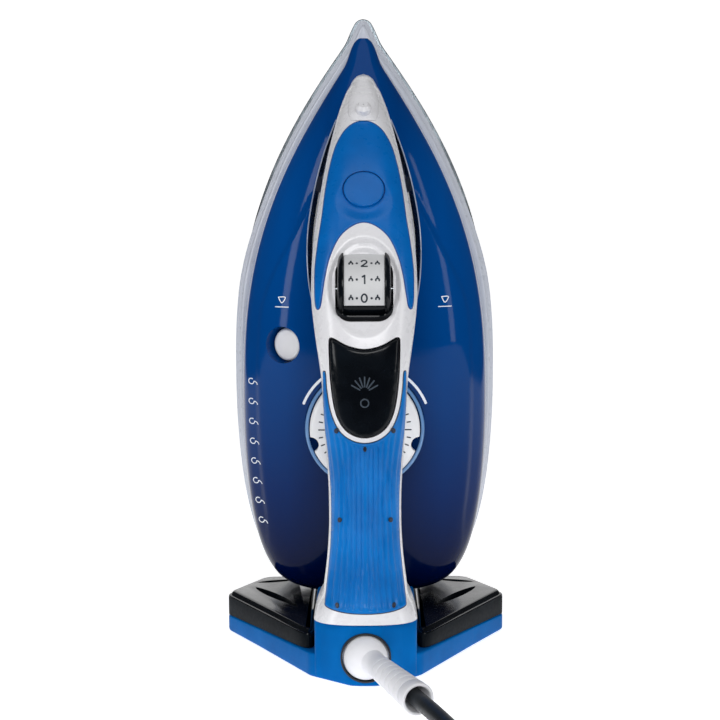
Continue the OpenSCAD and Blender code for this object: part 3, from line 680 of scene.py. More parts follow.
def handle_solid(name):
    """Hollow handle form: outer and inner skins joined round the open stern"""
    outer_l = np.concatenate([
        np.linspace(STERN_L, 34, 10), np.linspace(35, NOSE_FROM, 200), np.linspace(252.6, NOSE_END, 14)])
    inner_l = np.linspace(STERN_L, NOSE_FROM, 120)
    outer, inner = handle_rings(outer_l, 0), handle_rings(inner_l, 2.6)
    count = len(outer[0])
    faces = ring_faces(len(outer), count, cap_first=False)
    shift = len(outer) * count
    faces += [tuple(i + shift for i in f) for f in ring_faces(len(inner), count, cap_first=False)]
    faces += [(j, (j + 1) % count, shift + (j + 1) % count, shift + j) for j in range(count)]
    return make(name, np.concatenate(outer + inner), faces)


TRIM_HALF = [
    (0, 196.6), (5.6, 194.8), (10.8, 190), (14.6, 182), (16.6, 174), (17.7, 167), (18.7, 161.4), (20, 160.3),
    (20.7, 163), (20.9, 168), (20.8, 177), (19.7, 187), (18, 198), (16.6, 209), (14.8, 219), (12.2, 228.4),
    (8.6, 235), (4.4, 238.6), (0, 239.6)]
BUTTON_HALF = [
    (0, 143.8), (7, 145.2), (12.6, 148), (14.3, 148.3), (14.7, 146.6), (14.6, 140), (14.1, 130),
    (12.4, 118.5), (9.4, 111.6), (5, 108), (0, 106.8)]
INLAY_HALF = [
    (0, 104.2), (6, 105.6), (11, 109.6), (14.4, 117), (16, 126), (16.5, 133), (17, 134.2), (17.4, 132.6),
    (17.3, 122), (16.7, 110), (15.4, 98), (14.3, 80), (14.5, 62), (15.5, 50), (16.6, 40), (17.1, 35.2),
    (16.4, 33.4), (9, 31.9), (0, 31.4)]
DOOR_AT = (0, 210.4, 119)
DOOR_SLOPE = 34
DOOR_R = 8.7
TRIM_LIFT = 0.4
BUTTON_LIFT = 0.7
SLOT_HALF = 12.3
SLOT_BEND = 6.5
SLOT_FROM = 155.2
STUDS = [(11.6, 109.5), (0, 102), (-11.6, 109.5), (10.4, 71), (-10.4, 71), (11.7, 34.5), (-11.7, 34.5)]


def outline(half, steps=10):
    return rounded_loop(mirrored(half), steps)


def ellipse(x, l, half_x, half_l, count=72):
    turn = full_turn(count)
    return rows(x + half_x * np.cos(turn), l + half_l * np.sin(turn))


def door_loop(gap):
    return ellipse(DOOR_AT[0], DOOR_AT[1], DOOR_R + gap, DOOR_R * math.cos(math.radians(DOOR_SLOPE)) + gap)


def rounded_box(half_x, start, end, radius, count=10):
    """Rounded rectangle in (x, l)"""
    points = []
    for corner, (cx, cl) in enumerate([
            (half_x - radius, end - radius), (radius - half_x, end - radius),
            (radius - half_x, start + radius), (half_x - radius, start + radius)]):
        for i in range(count + 1):
            turn = math.radians(90 * corner + 90 * i / count)
            points.append((cx + radius * math.cos(turn), cl + radius * math.sin(turn)))
    return np.array(points)


def panel(name, loop, lift, depth, edge, step, hole=None, relief=None, surface=handle_top, sharp=50):
    """A closed skin that follows a surface inside a plan outline, with a rounded edge"""
    rims = [loop] if hole is None else [loop, hole]

    def within(spots):
        return inside(spots, loop) if hole is None else inside(spots, loop) & ~inside(spots, hole)

    def to_rim(spots):
        return np.min([distance_to(spots, rim) for rim in rims], axis=0)

    points = []
    for rim, inward in zip(rims, (-edge, edge)):
        points += [rim] + [grown(rim, share * inward) for share in (0.3, 0.7, 1.3)]
    lo, hi = loop.min(0), loop.max(0)
    x, l = np.meshgrid(np.arange(lo[0], hi[0], step), np.arange(lo[1], hi[1], step))
    grid = rows(x.ravel(), l.ravel())
    grid = grid[within(grid)]
    points = np.concatenate(points + [grid[to_rim(grid) > 1.3 * edge + 0.5 * step]])
    edges, start = [], 0
    for rim in rims:
        edges += [(start + i, start + (i + 1) % len(rim)) for i in range(len(rim))]
        start = 4 * len(loop)
    verts, _, faces, *_ = delaunay_2d_cdt([Vector(p) for p in points], edges, [], 0, 1e-6)
    flat = np.array([tuple(v) for v in verts])
    faces = np.array([tuple(f) for f in faces])
    faces = faces[within(flat[faces].mean(1))]
    used = np.unique(faces)
    order = np.full(len(flat), -1)
    order[used] = np.arange(len(used))
    flat, faces = flat[used], order[faces]
    away = to_rim(flat)
    drop = edge * (1 - np.sqrt(np.maximum(0, 1 - (1 - np.minimum(away / edge, 1)) ** 2)))
    x, l = flat[:, 0], flat[:, 1]
    nudge = 0.05
    base = rows(x, l, surface(x, l))
    normal = rows(
        (surface(x - nudge, l) - surface(x + nudge, l)) / (2 * nudge),
        (surface(x, l - nudge) - surface(x, l + nudge)) / (2 * nudge), 1)
    normal /= np.linalg.norm(normal, axis=1, keepdims=True)
    rise = lift - drop + (relief(x, l, away) if relief is not None else 0)
    top = base + normal * rise[:, None]
    bottom = base - normal * depth
    count = len(flat)
    edges = dict.fromkeys(pair for a, b, c in faces for pair in ((a, b), (b, c), (c, a)))
    sides = [(a, b, b + count, a + count) for a, b in edges if (b, a) not in edges]
    all_faces = [tuple(f) for f in faces] + [tuple(f[::-1] + count) for f in faces] + sides
    return make(name, stand(np.concatenate([top, bottom])), all_faces, sharp)


def ribs(x, l, away):
    """Fine lengthwise ribs that draw together at the grip's waist"""
    fan = 1 + 0.42 * ((l - 78) / 48) ** 2
    wave = 0.5 * np.sin(l / 9.0 + np.abs(x) * 0.35) + 0.25 * np.sin(l / 4.3 - x * 0.5)
    across = np.abs(x) / fan * 2.0 * math.pi / 1.95 + wave
    second = 0.35 * np.sin(across * 0.5 + l / 14.0)
    return (0.34 * np.sin(across) + 0.14 * second) * smooth(away, 0.6, 2.4) - 0.1


def add_handle():
    handle = handle_solid("handle_upper_shell")
    lower_form = np.array([
        (20, 40), (20, 128), (60, 127.2), (150, 126), (157, 122.5), (161, 118), (166, 100), (168, 40)], float)
    gap = 0.22
    lower = copy_of(handle, "handle_lower_shell")
    cut(handle, prism("side", lower_form, -40, 40, axis="x"))
    lower_cut = grown(lower_form, -gap)
    cut(lower, prism("side", lower_cut, -40, 40, axis="x"), operation="INTERSECT")
    cut(
        handle,
        prism("pocket", grown(outline(BUTTON_HALF, 6), 0.45), 128, 165),
        prism("slot", rounded_box(SLOT_HALF, SLOT_FROM, 181.6, SLOT_BEND), 100, 165),
        prism("door_room", door_loop(0.35), 100, 165),
        sharp=30)
    place(handle, "iron", "white_plastic", "handle_upper")
    place(lower, "iron", "white_plastic", "handle_lower")

    def lid_surface(x, l):
        return handle_top(x, l) + door_dip(x, l)

    trim_hole = door_loop(0.35)
    loop = outline(TRIM_HALF)
    trim = panel("nose_trim_panel", loop, lift=TRIM_LIFT, depth=0.5, edge=0.5, step=0.8, hole=trim_hole)
    place(trim, "iron", "bright_blue_trim", "nose_trim")
    line = panel("trim_line", grown(loop, 0.28), lift=0.12, depth=0.5, edge=0.1, step=1.0, hole=trim_hole)
    place(line, "iron", "mark_blue", slot="bright_blue_trim")
    door = panel("filler_lid", door_loop(0), lift=0.5, depth=2.6, edge=0.45, step=0.8, surface=lid_surface)
    place(door, "water_door", "bright_blue_trim", "filler_door")
    gap = door_loop(0.34)
    seam = panel("filler_lid_seam", gap, lift=-0.4, depth=1.2, edge=0.1, step=1.2, hole=door_loop(-0.6))
    place(seam, "iron", "mark_blue", slot="bright_blue_trim")
    loop = outline(INLAY_HALF)
    grip = panel("grip_panel", loop, lift=0.8, depth=0.6, edge=0.7, step=0.42, relief=ribs)
    place(grip, "iron", "blue_grip", "grip_inlay")
    line = panel("grip_line", grown(loop, 0.3), lift=0.14, depth=0.5, edge=0.1, step=1.2)
    place(line, "iron", "mark_dark", slot="blue_grip")
    loop = outline(BUTTON_HALF, 6)
    button = panel("burst_button_cap", loop, lift=BUTTON_LIFT, depth=3.0, edge=1.2, step=0.8)
    place(button, "burst_button", "gloss_black", "steam_button")
    dots = [ellipse(x, l, 0.8, 1.15, 20) for x, l in STUDS]
    studs = [panel("stud", dot, lift=1.25, depth=0.9, edge=0.3, step=0.5) for dot in dots]
    place(join(studs, "grip_stud_caps"), "iron", "dark_studs", "grip_studs")


# ---- Water tank ----
TANK_LOW = 37.5
TANK_TOP = 80.0
DIAL_L = 101.0
DIAL_SEAT = 74.0
CLEAN_AT = (-33, 139, 67.5)
CLEAN_TILT = math.radians(34)
SIDES = ((-1, "left"), (1, "right"))
SKIN_POWER = 0.72
NOSE_SINK = 1.2
# Columns across the hollow beside the nose: its flat floor, then how deep its wall still is up to the rim
FLOOR_COLUMNS = 5
WALL_SHARES = (1.0, 0.95, 0.7, 0.28)
WALL_STEPS = (0.3, 0.62, 0.82, 0.93)


def dial_rings(profile, count=96, x=0, l=DIAL_L):
    """Turned rings about the dial's axis, or about one beside it"""
    return stand(revolve(profile, count) + (x, l, 0))


def clean_rings(profile, count=64):
    """Turned rings about the self-clean button's tilted axis"""
    axis = (-math.sin(CLEAN_TILT), 0, math.cos(CLEAN_TILT))
    return stand(set_on(revolve(profile, count), (0, 0, 0), (0, 1, 0), axis) / MM + CLEAN_AT)


def crown(l):
    """Height of the tank's ridge"""
    l = np.asarray(l, float)
    front = 42.5 + (TANK_TOP - 42.5) * (1 - (np.clip(l - 140, 0, 139) / 139) ** 2.5)
    back = TANK_TOP - 0.13 * (140 - l)
    stern = 9 * (1 - np.sqrt(1 - np.clip((31 - l) / 10.5, 0, 0.999) ** 2))
    return np.where(l > 140, front, back - stern)


def tank_half(l):
    """Half width of the tank at distance l"""
    half = right_side(**TANK)
    return np.interp(l, half[1:, 1], half[1:, 0])


def recess_width(l):
    """Width of the slim hollow that runs up beside the nose"""
    return 5.0 * np.sin(math.pi * np.clip((np.asarray(l, float) - 147) / 101, 0, 1)) ** 0.8


def recess_depth(width):
    return min(6.5, 1.6 * width)


def crease_share(l):
    """Where the tank's upper panel ends, as a share of its half width"""
    l = np.asarray(l, float)
    return 0.835 - 0.36 * smooth(l, 150, 225) + 0.09 * smooth(l, 60, 30)


def tank_top(x, l):
    """Height of the tank's outer surface, without the hollow beside the nose"""
    w, top = tank_half(l), crown(l)
    share = np.clip(np.abs(x) / w, 0, 0.9999)
    h = TANK_LOW + (top - TANK_LOW) * (1 - share ** 2.778) ** 0.35
    edge = crease_share(l)
    band = smooth(share, edge, edge + 0.05) * smooth(1.0 - share, 0.0, 0.1)
    return h - 1.5 * band * smooth(l, 36, 70) * (1 - smooth(l, 205, 240))


def tank_stations():
    turn = np.radians(np.linspace(84, 10, 26))
    stern = 115 - (115 - 21) * np.sin(turn) ** 0.91
    return np.concatenate([stern, np.linspace(103, 268, 110), np.linspace(269, 278.4, 10)])


def add_tank():
    """Columns of the tank's skin follow the hollow's rim, the crease and the edge at every station"""
    rings, rim = [], []
    for l in tank_stations():
        w = float(tank_half(l))
        nose = float(handle_section(max(l, 27))[0]) - NOSE_SINK if l < 261 else 0.0
        nose = min(nose, 0.9 * w)
        gap = float(recess_width(l))
        edge = min(max(float(crease_share(l)) * w, nose + gap + 0.8), 0.97 * w)

        def angle(x):
            return math.acos(min(x / w, 1.0) ** (1 / SKIN_POWER))

        turns = np.concatenate([
            np.linspace(angle(nose + gap), angle(edge), 22), np.linspace(angle(edge), 0.0, 34)[1:]])
        x = np.concatenate([
            np.linspace(0, nose, FLOOR_COLUMNS), nose + gap * np.array(WALL_STEPS),
            w * np.cos(turns) ** SKIN_POWER])
        x = np.maximum.accumulate(x + np.arange(len(x)) * 1e-5)
        x = np.minimum(x, w)
        h = tank_top(x, l)
        shares = [1.0] * FLOOR_COLUMNS + list(WALL_SHARES)
        rim_column = len(shares)
        h[:rim_column] -= recess_depth(gap) * np.array(shares)
        h[-1] = TANK_LOW
        ring = rows(x, l, h)
        rings.append(np.concatenate([ring, (ring * (-1, 1, 1))[:0:-1]]))
        rim.append(ring[rim_column])
    tank = loft("tank_body", stand(rings))
    dial_bore = [(27.6, DIAL_SEAT - 0.4), (27.6, 100)]
    clean_bore = [(8.4, -9), (8.4, 30)]
    cut(tank, loft("bore", dial_rings(dial_bore)), loft("bore", clean_rings(clean_bore, 48)), sharp=34)
    place(tank, "iron", "blue_tank", "tank_shell")
    seat = [(0.5, 71.5), (27.2, 71.5), (27.3, 73.4), (27.0, 73.9), (26.4, DIAL_SEAT), (0.5, DIAL_SEAT)]
    place(loft("dial_seat", dial_rings(seat)), "iron", "blue_tank")
    # Painted highlight: a light grey bead along each hollow's rim stands in for the highlight line there
    rim = np.array([p for p in rim if 152 < p[1] < 242])
    for side, tag in SIDES:
        line = stand(rim * (side, 1, 1) + (side * 0.1, 0, 0.12))
        place(tube("hollow_rim_highlight_" + tag, line, 0.3, 8), "iron", "rim_painted_highlight", slot="blue_tank")
        add_hollow_painted_shade(side, tag)


def add_hollow_painted_shade(side, tag):
    """Dark sheet laid on the floor of the hollow beside the nose: painted shade where the hollow lies in
    shadow
    """
    rings = []
    for l in np.linspace(150, 244, 60):
        gap = float(recess_width(l))
        x = float(handle_section(l)[0]) - 1.0 + gap * np.array([0, 0.5, 0.97])
        upper = rows(x, l, tank_top(x, l) - recess_depth(gap) * np.array([1, 0.93, 0.16]) + 0.12)
        ring = np.concatenate([upper, (upper - (0, 0, 0.6))[::-1]])
        rings.append(stand(ring * (side, 1, 1)))
    place(loft("hollow_painted_shade_" + tag, rings, sharp=60), "iron", "recess_painted_shade", slot="blue_tank")


def tube(name, line, radius_mm, sides=10):
    """Round bar along a line of row-frame points"""
    line = np.asarray(line, float)
    turn = full_turn(sides)
    rings = []
    for i, p in enumerate(line):
        along = Vector(line[min(i + 1, len(line) - 1)] - line[max(i - 1, 0)]).normalized()
        u = along.orthogonal() if abs(along.z) > 0.99 else along.cross(Vector((0, 0, 1)))
        u.normalize()
        v = along.cross(u)
        rings.append(p + radius_mm * MM * (np.outer(np.cos(turn), u) + np.outer(np.sin(turn), v)))
    return loft(name, rings)


# ---- Printed marks: thin raised strokes laid on a surface ----
SUNK = 0.15


def strokes(name, lines, width, surface, thick):
    """Each line is a list of (u, v); surface(u, v, t) gives lying-frame points t above the surface"""
    points, faces = [], []
    for line in lines:
        p = np.asarray(line, float)
        along = np.gradient(p, axis=0)
        along /= np.maximum(np.linalg.norm(along, axis=1, keepdims=True), 1e-9)
        side = rows(-along[:, 1], along[:, 0]) * width / 2
        p = np.concatenate([[p[0] - along[0] * width * 0.35], p, [p[-1] + along[-1] * width * 0.35]])
        side = np.concatenate([[side[0] * 0.5], side, [side[-1] * 0.5]])
        left, right = p + side, p - side
        corners = ((left, -SUNK), (left, thick), (right, thick), (right, -SUNK))
        rings = np.stack([surface(*edge.T, rise) for edge, rise in corners], 1)
        start = len(points)
        points += list(rings.reshape(-1, 3))
        faces += [tuple(i + start for i in f) for f in ring_faces(len(rings), 4)]
    return make(name, stand(points), faces)


def arc(u, v, radius, start, end, count=12, squash=1.0):
    turn = np.radians(np.linspace(start, end, count))
    return rows(u + radius * np.cos(turn), v + radius * squash * np.sin(turn))


def bar(u0, v0, u1, v1, count=4):
    return rows(np.linspace(u0, u1, count), np.linspace(v0, v1, count))


def over(height):
    """Surface function for marks that lie on a height field"""
    return lambda u, v, t: rows(u, v, height(u, v) + t)


def add_tank_marks():
    lines = []
    for side in (-1, 1):
        x = side * 37.0 - 0.4
        lines.append(bar(x - 3.0, 156.4, x + 3.0, 156.4))
        triangle = [(x - 1.6, 160.8), (x + 1.6, 160.8), (x, 158.2), (x - 1.6, 160.8)]
        lines.append(rounded_loop(triangle, 4, closed=False))
    for i in range(8):
        l = 121 - 9.4 * i
        x = -0.915 * float(tank_half(l))
        lines.append(arc(x, l, 1.3, 60, 350))
        lines.append(arc(x + 1.5, l - 1.4, 1.5, 100, 10, 8))
    marks = strokes("tank_marks", lines, 0.42, over(tank_top), 0.1)
    place(marks, "iron", "mark_white", slot="white_label")
    sweeps = [arc(0, DIAL_L, 30.0, 112, 158, 24), arc(0, DIAL_L, 30.0, 22, 68, 24)]
    index = strokes("dial_index", sweeps, 1.2, over(tank_top), 0.1)
    place(index, "iron", "mark_white", slot="white_label")


def add_handle_marks():
    spray = [
        arc(0, 228.6, 3.4, 15, 165, 14, 0.35), arc(0, 230.0, 3.4, 200, 340, 14, 0.4), bar(0, 229.6, 0, 231.2)]
    mark = strokes("spray_mark", spray, 0.55, over(lambda x, l: handle_top(x, l) + TRIM_LIFT), 0.06)
    place(mark, "iron", "mark_blue", slot="bright_blue_trim")
    jets = []
    for turn in (-62, -40, -20, 0, 20, 40, 62):
        s, c = math.sin(math.radians(turn)), math.cos(math.radians(turn))
        jets.append(bar(2.2 * s, 126 + 2.4 * c, 6.2 * s, 126 + 6.6 * c))
    jets.append(arc(0, 121.5, 1.7, 0, 360, 16))
    mark = strokes("burst_mark", jets, 0.6, over(lambda x, l: handle_top(x, l) + BUTTON_LIFT), 0.05)
    place(mark, "burst_button", "mark_grey", slot="gloss_black")


# ---- Controls ----
WHEEL_AT = np.array([0, 168, 127.0])
WHEEL_R = 16.5
LABEL_R = 15.7


def on_wheel(x, around, t):
    """Point at x across and around degrees from the top towards the tip, t above the label"""
    turn = np.radians(around)
    r = LABEL_R + t
    return rows(x, WHEEL_AT[1] + r * np.sin(turn), WHEEL_AT[2] + r * np.cos(turn))


def add_wheel():
    half = [
        (1.6, 11.2), (9, 11.4), (12.4, 11.35), (14.0, 11.1), (15.2, 10.6), (16.0, 9.9), (16.42, 9.3),
        (16.4, 8.9), (16.1, 8.7), (15.1, 8.65)]
    profile = half + [(r, -x) for r, x in reversed(half)]
    turn = full_turn(96)
    rings = [rows(x, r * np.sin(turn), r * np.cos(turn)) + WHEEL_AT for r, x in profile]
    wheel = loft("wheel_drum", stand(rings + rings[:1]), cap_first=False, cap_last=False)
    place(wheel, "wheel", "gloss_black", "steam_wheel")
    band = np.array([(8.55, -0.8), (8.55, -0.15), (8.4, 0), (-8.4, 0), (-8.55, -0.15), (-8.55, -0.8)])
    rings = [on_wheel(band[:, 0], degrees, band[:, 1]) for degrees in np.linspace(-22, 110, 67)]
    place(loft("wheel_band", stand(rings)), "wheel", "white_label", "wheel_label")
    per_mm = math.degrees(1 / LABEL_R)
    digits = {
        0: [arc(0, 0, 1.15, 0, 360, 20, 1.5)],
        1: [bar(0.2, -1.8, 0.2, 1.8), bar(0.2, 1.8, -0.8, 1.1)],
        2: [np.concatenate([arc(0, 0.75, 1.1, 170, -30, 12, 0.95), bar(0.6, -0.2, -1.2, -1.75, 4)]),
            bar(-1.2, -1.75, 1.3, -1.75)]}
    lines = []
    for value, around in ((0, -10), (1, 19), (2, 48)):
        row = digits[value]
        for side in (-1, 1):
            dot = arc(side * 3.1, 0, 0.18, 0, 360, 8)
            drop = arc(side * 5.6, -0.3, 0.75, -20, 200, 10)
            row = [*row, dot, drop, bar(side * 5.6, 1.3, side * 5.6, 0.6, 3)]
        lines += [line + (0, around / per_mm) for line in row]
    marks = strokes("wheel_marks", lines, 0.7, lambda u, v, t: on_wheel(u, v * per_mm, t), 0.06)
    place(marks, "wheel", "mark_dark", slot="white_label")


def add_wheel_lip():
    """Black stepped lip across the low end of the wheel's slot"""
    rings = []
    reach = SLOT_HALF - 0.25
    for x in np.linspace(-reach, reach, 61):
        corner = max(0.0, abs(x) - SLOT_HALF + SLOT_BEND)
        start = SLOT_FROM - 0.2 + SLOT_BEND - math.sqrt(SLOT_BEND ** 2 - corner ** 2)
        l = start + np.array([0, 0.5, 1.4, 2.3, 2.8])
        under = WHEEL_AT[2] + np.sqrt((WHEEL_R + 0.4) ** 2 - (WHEEL_AT[1] - l) ** 2)
        over_it = under + np.array([0.5, 0.95, 1.1, 0.95, 0.45])
        section = [*zip(l, under), *zip(l[::-1], over_it[::-1])]
        rings.append([(x, a, h) for a, h in section])
    place(loft("wheel_lip", stand(rings), sharp=40), "iron", "gloss_black")


DIAL_FACE = 81.17


def on_dial(radius, degrees):
    """Plan position on the dial, degrees from the tip's side"""
    turn = math.radians(degrees)
    return radius * math.sin(turn), DIAL_L + radius * math.cos(turn)


def add_dial():
    profile = [
        (3.0, 74.8), (23.5, 74.8), (24.9, 75.2), (25.0, 75.8), (25.0, 79.2), (24.8, 79.8), (24.2, 80.3),
        (23.0, 80.9), (21.5, 81.15), (3.0, 81.2)]
    dial = loft("dial_disc", dial_rings(profile, 144))
    bore = [(3.5, 72), (3.5, 90)]
    cut(dial, *(loft("notch", dial_rings(bore, 40, x, DIAL_L - 7)) for x in (-24.4, 24.4)))
    place(dial, "dial", "white_dial", "temperature_dial")
    lines = []
    for i in range(36):
        degrees = 10 * i
        inner = 19.4 if i % 3 else 17.8
        lines.append(bar(*on_dial(inner, degrees), *on_dial(21.0, degrees)))
        if i % 3 == 0:
            extra = (i // 3) % 3
            for j in range(1 + extra):
                lines.append(arc(*on_dial(15.2, degrees + 4 * (j - 0.5 * extra)), 0.3, 0, 360, 10))
    marks = strokes("dial_marks", lines, 0.55, over(lambda u, v: DIAL_FACE), 0.08)
    place(marks, "dial", "mark_dark", slot="white_dial")
    ring = [
        (25.6, 74.05), (27.0, 74.05), (27.2, 74.3), (27.2, 76.6), (26.9, 77.2), (26.4, 77.4), (25.8, 77.2),
        (25.6, 76.8)]
    bezel = loft("dial_bezel", dial_rings(ring + ring[:1], 144), cap_first=False, cap_last=False)
    place(bezel, "iron", "dial_ring_blue", "dial_ring")


def add_clean_button():
    """Cap on a stem, hollow underneath for its spring"""
    profile = [
        (2.4, -20), (2.5, -19.8), (2.5, 2.6), (5.7, 2.6), (5.7, -1.7), (7.2, -1.7), (7.45, -1.4), (7.5, -0.9),
        (7.5, 2.9), (7.35, 3.7), (6.9, 4.2), (6.2, 4.45), (5.7, 4.35), (5.3, 4.28), (3, 4.4), (0.3, 4.45)]
    cap = loft("clean_button_cap", clean_rings(profile))
    place(cap, "clean_button", "white_button", "self_clean_button")


def add_nozzle_hood():
    """Half-round housing on the nose, its front end rounded off"""
    rings = []
    straight = 24
    for i, l in enumerate([*np.linspace(240, 251.2, straight), 251.8, 252.2, 252.4]):
        grow = float(smooth(l, 238, 244))
        past = max(0, i - straight + 1)
        half = 7.0 * (0.72 + 0.28 * grow) - (0.25 * past) ** 2
        rise = 0.1 + 2.6 * grow - (0.3 * past) ** 2
        x = half * np.cos(np.linspace(0, math.pi, 25))
        share = np.sqrt(np.maximum(0, 1 - (np.abs(x) / half) ** 2.6))
        base = handle_top(np.clip(x, -half, half), l)
        up = rows(x, l, base + rise * share - 0.2 * (1 - share))
        down = rows(x[::-1] * 0.9, l, base[::-1] - 3.0)
        rings.append(stand(np.concatenate([up, down])))
    place(loft("nozzle_hood", rings, sharp=40), "iron", "white_plastic")


# ---- Heel ----
HEEL_TOP = high("heel_rest_left").z
SEAM = (10.6, 7.2)
TOWER_HALF = 22.0
HEEL_POINTS = [(24.5, -56), (49.7, -3), (66, 30), (50, 64)]
HEEL_RADII = [12, 12, 9, 11]
CAP_WALL_TOP = 17.2


def heel_loop():
    """Plan of the heel, in x and y: a round apex, two straight flanks and blunt wing tips"""
    turns = [math.radians(a) for a in range(-14, 15, 7)]
    apex = [(28.5 * math.sin(turn), -45.5 - 28.5 * math.cos(turn)) for turn in turns]
    corners = apex + HEEL_POINTS + [(-x, y) for x, y in reversed(HEEL_POINTS)]
    return filleted(corners, [9] * len(apex) + HEEL_RADII + HEEL_RADII[::-1])


def filleted(corners, radii, steps=8, gap=1.2):
    """Closed loop with each corner replaced by a quadratic curve, and the straights cut into short steps"""
    p = np.asarray(corners, float)
    n = len(p)
    out = []
    for i in range(n):
        a, b, c = p[i - 1], p[i], p[(i + 1) % n]
        to_a, to_c = (a - b) / np.linalg.norm(a - b), (c - b) / np.linalg.norm(c - b)
        half = math.acos(max(-1, min(1, to_a @ to_c))) / 2
        reach = min(radii[i] / math.tan(half), 0.48 * np.linalg.norm(a - b), 0.48 * np.linalg.norm(c - b))
        for t in np.linspace(0, 1, steps + 1):
            out.append((1 - t) ** 2 * (b + to_a * reach) + 2 * t * (1 - t) * b + t * t * (b + to_c * reach))
    filled = []
    for a, b in zip(out, out[1:] + out[:1]):
        count = max(1, int(np.linalg.norm(b - a) / gap))
        filled += [a + (b - a) * k / count for k in range(count)]
    return np.array(filled)


def seam_height(x):
    return SEAM[0] - (SEAM[0] - SEAM[1]) * np.clip((np.abs(x) - TOWER_HALF - 0.4) / 47.6, 0, 1)


def heel_rings(loop, profile):
    """Rings from (inset, height) pairs; a height given as a function follows the slanting seam"""
    rings = []
    for inset, z in profile:
        x, y = grown(loop, -inset).T
        rings.append(rows(x, y, z(x) if callable(z) else z) * MM)
    return rings


def ball_rings(profile, y):
    """Turned rings about the cord ball's axis, which points out of the heel's apex"""
    return set_on(revolve(profile, 72), (0, y, BALL.z), (1, 0, 0), (0, -1, 0))


def add_heel():
    loop = heel_loop()
    base = loft("cover_base", heel_rings(loop, [
        (1.6, 0.0), (0.7, 0.15), (0.2, 0.6), (0.0, 1.4), (0, lambda x: seam_height(x) - 0.9),
        (0.12, lambda x: seam_height(x) - 0.4), (0.5, lambda x: seam_height(x) - 0.1),
        (1.2, lambda x: seam_height(x))]), sharp=40)
    front = [p for p in loop if abs(p[0]) < TOWER_HALF and p[1] < -50]
    front = sorted(front, key=lambda p: p[0])
    edge_y = float(np.interp(TOWER_HALF, [p[0] for p in front], [p[1] for p in front]))
    left = [(-TOWER_HALF, 6), (-TOWER_HALF, edge_y)]
    right = [(TOWER_HALF, edge_y), (TOWER_HALF, 6)]
    corners = left + front[2:-2:6] + right
    radii = [3, 3.5] + [6] * (len(corners) - 4) + [3.5, 3]
    tower_loop = filleted(corners, radii, 5)
    tower = loft("cover_tower", heel_rings(tower_loop, [
        (0.3, 0.9), (-0.12, 2.0), (-0.12, 25.2), (0.05, 25.8), (0.5, 26.2), (1.3, 26.4)]), sharp=40)
    socket = [(10.8, -6), (10.8, 0.9), (11.0, 1.4), (11.8, 2.3), (13.6, 8)]
    cut(tower, loft("socket", ball_rings(socket, -74.2)), sharp=40)
    place(tower, "iron", "metallic_blue")
    socket = [(11.2, -16), (11.2, 3), (13, 8)]
    cut(base, loft("socket", ball_rings(socket, -74.2)), sharp=40)
    place(base, "iron", "metallic_blue", "rear_cover")
    liner = [(9.95, -1.2), (10.75, -1.2), (10.75, 0.5), (10.6, 0.7), (10.2, 0.7), (9.98, 0.4), (9.95, -1.2)]
    collar = loft("swivel_ring", ball_rings(liner, -73.9), cap_first=False, cap_last=False)
    place(collar, "iron", "black_rubber", "swivel_collar", slot="gloss_black")
    for side, tag in SIDES:
        add_heel_cap(side, tag)


def leaf(a, b, half):
    """Pointed leaf between two points"""
    a, b = np.asarray(a, float), np.asarray(b, float)
    along = b - a
    across = np.array([-along[1], along[0]]) / np.linalg.norm(along)
    t = np.linspace(0, 1, 17)
    bulge = half * np.sin(math.pi * t ** 0.85) ** 0.8
    middle = a + along * t[:, None]
    swell = across * bulge[:, None]
    return np.concatenate([middle + swell, (middle - swell)[-2:0:-1]])


def add_heel_cap(side, tag):
    """Glossy black cap of one wing: satin wall, stepped rim and two leaf-shaped hollows"""
    inner = TOWER_HALF + 0.6
    corners = [(inner, -57.9), *HEEL_POINTS[1:], (inner, 64)]
    cap_loop = filleted([(side * x, y) for x, y in corners], [4.5, 12, 9, 11, 4], 8)
    wall = loft("heel_cap_" + tag, heel_rings(cap_loop, [
        (0.5, lambda x: seam_height(x) + 0.1), (0.05, lambda x: seam_height(x) + 0.45), (0.0, 12.0),
        (0.0, 16.6), (0.25, 17.1), (0.7, 17.3), (1.2, 17.3), (1.35, 17.6), (1.7, 18.3), (2.3, 18.8),
        (3.0, HEEL_TOP)]), sharp=28)
    leaves = [((side * 52.5, 37), (side * 31.5, -3), 2.6), ((side * 52, 47.5), (side * 33, 54), 2.2)]
    hollow = [(1.2, 15.2), (0.4, 16.2), (0.0, 18.4), (-0.5, 20)]
    cut(wall, *(loft("leaf", heel_rings(leaf(*ends), hollow)) for ends in leaves), sharp=28)
    place(wall, "iron", "gloss_black", "heel_rest_" + tag)
    wall.data.materials.append(FINISHES["satin_black"])
    for face in wall.data.polygons:
        if abs(face.normal.z) < 0.3 and face.center.z < CAP_WALL_TOP * MM:
            face.material_index = 1


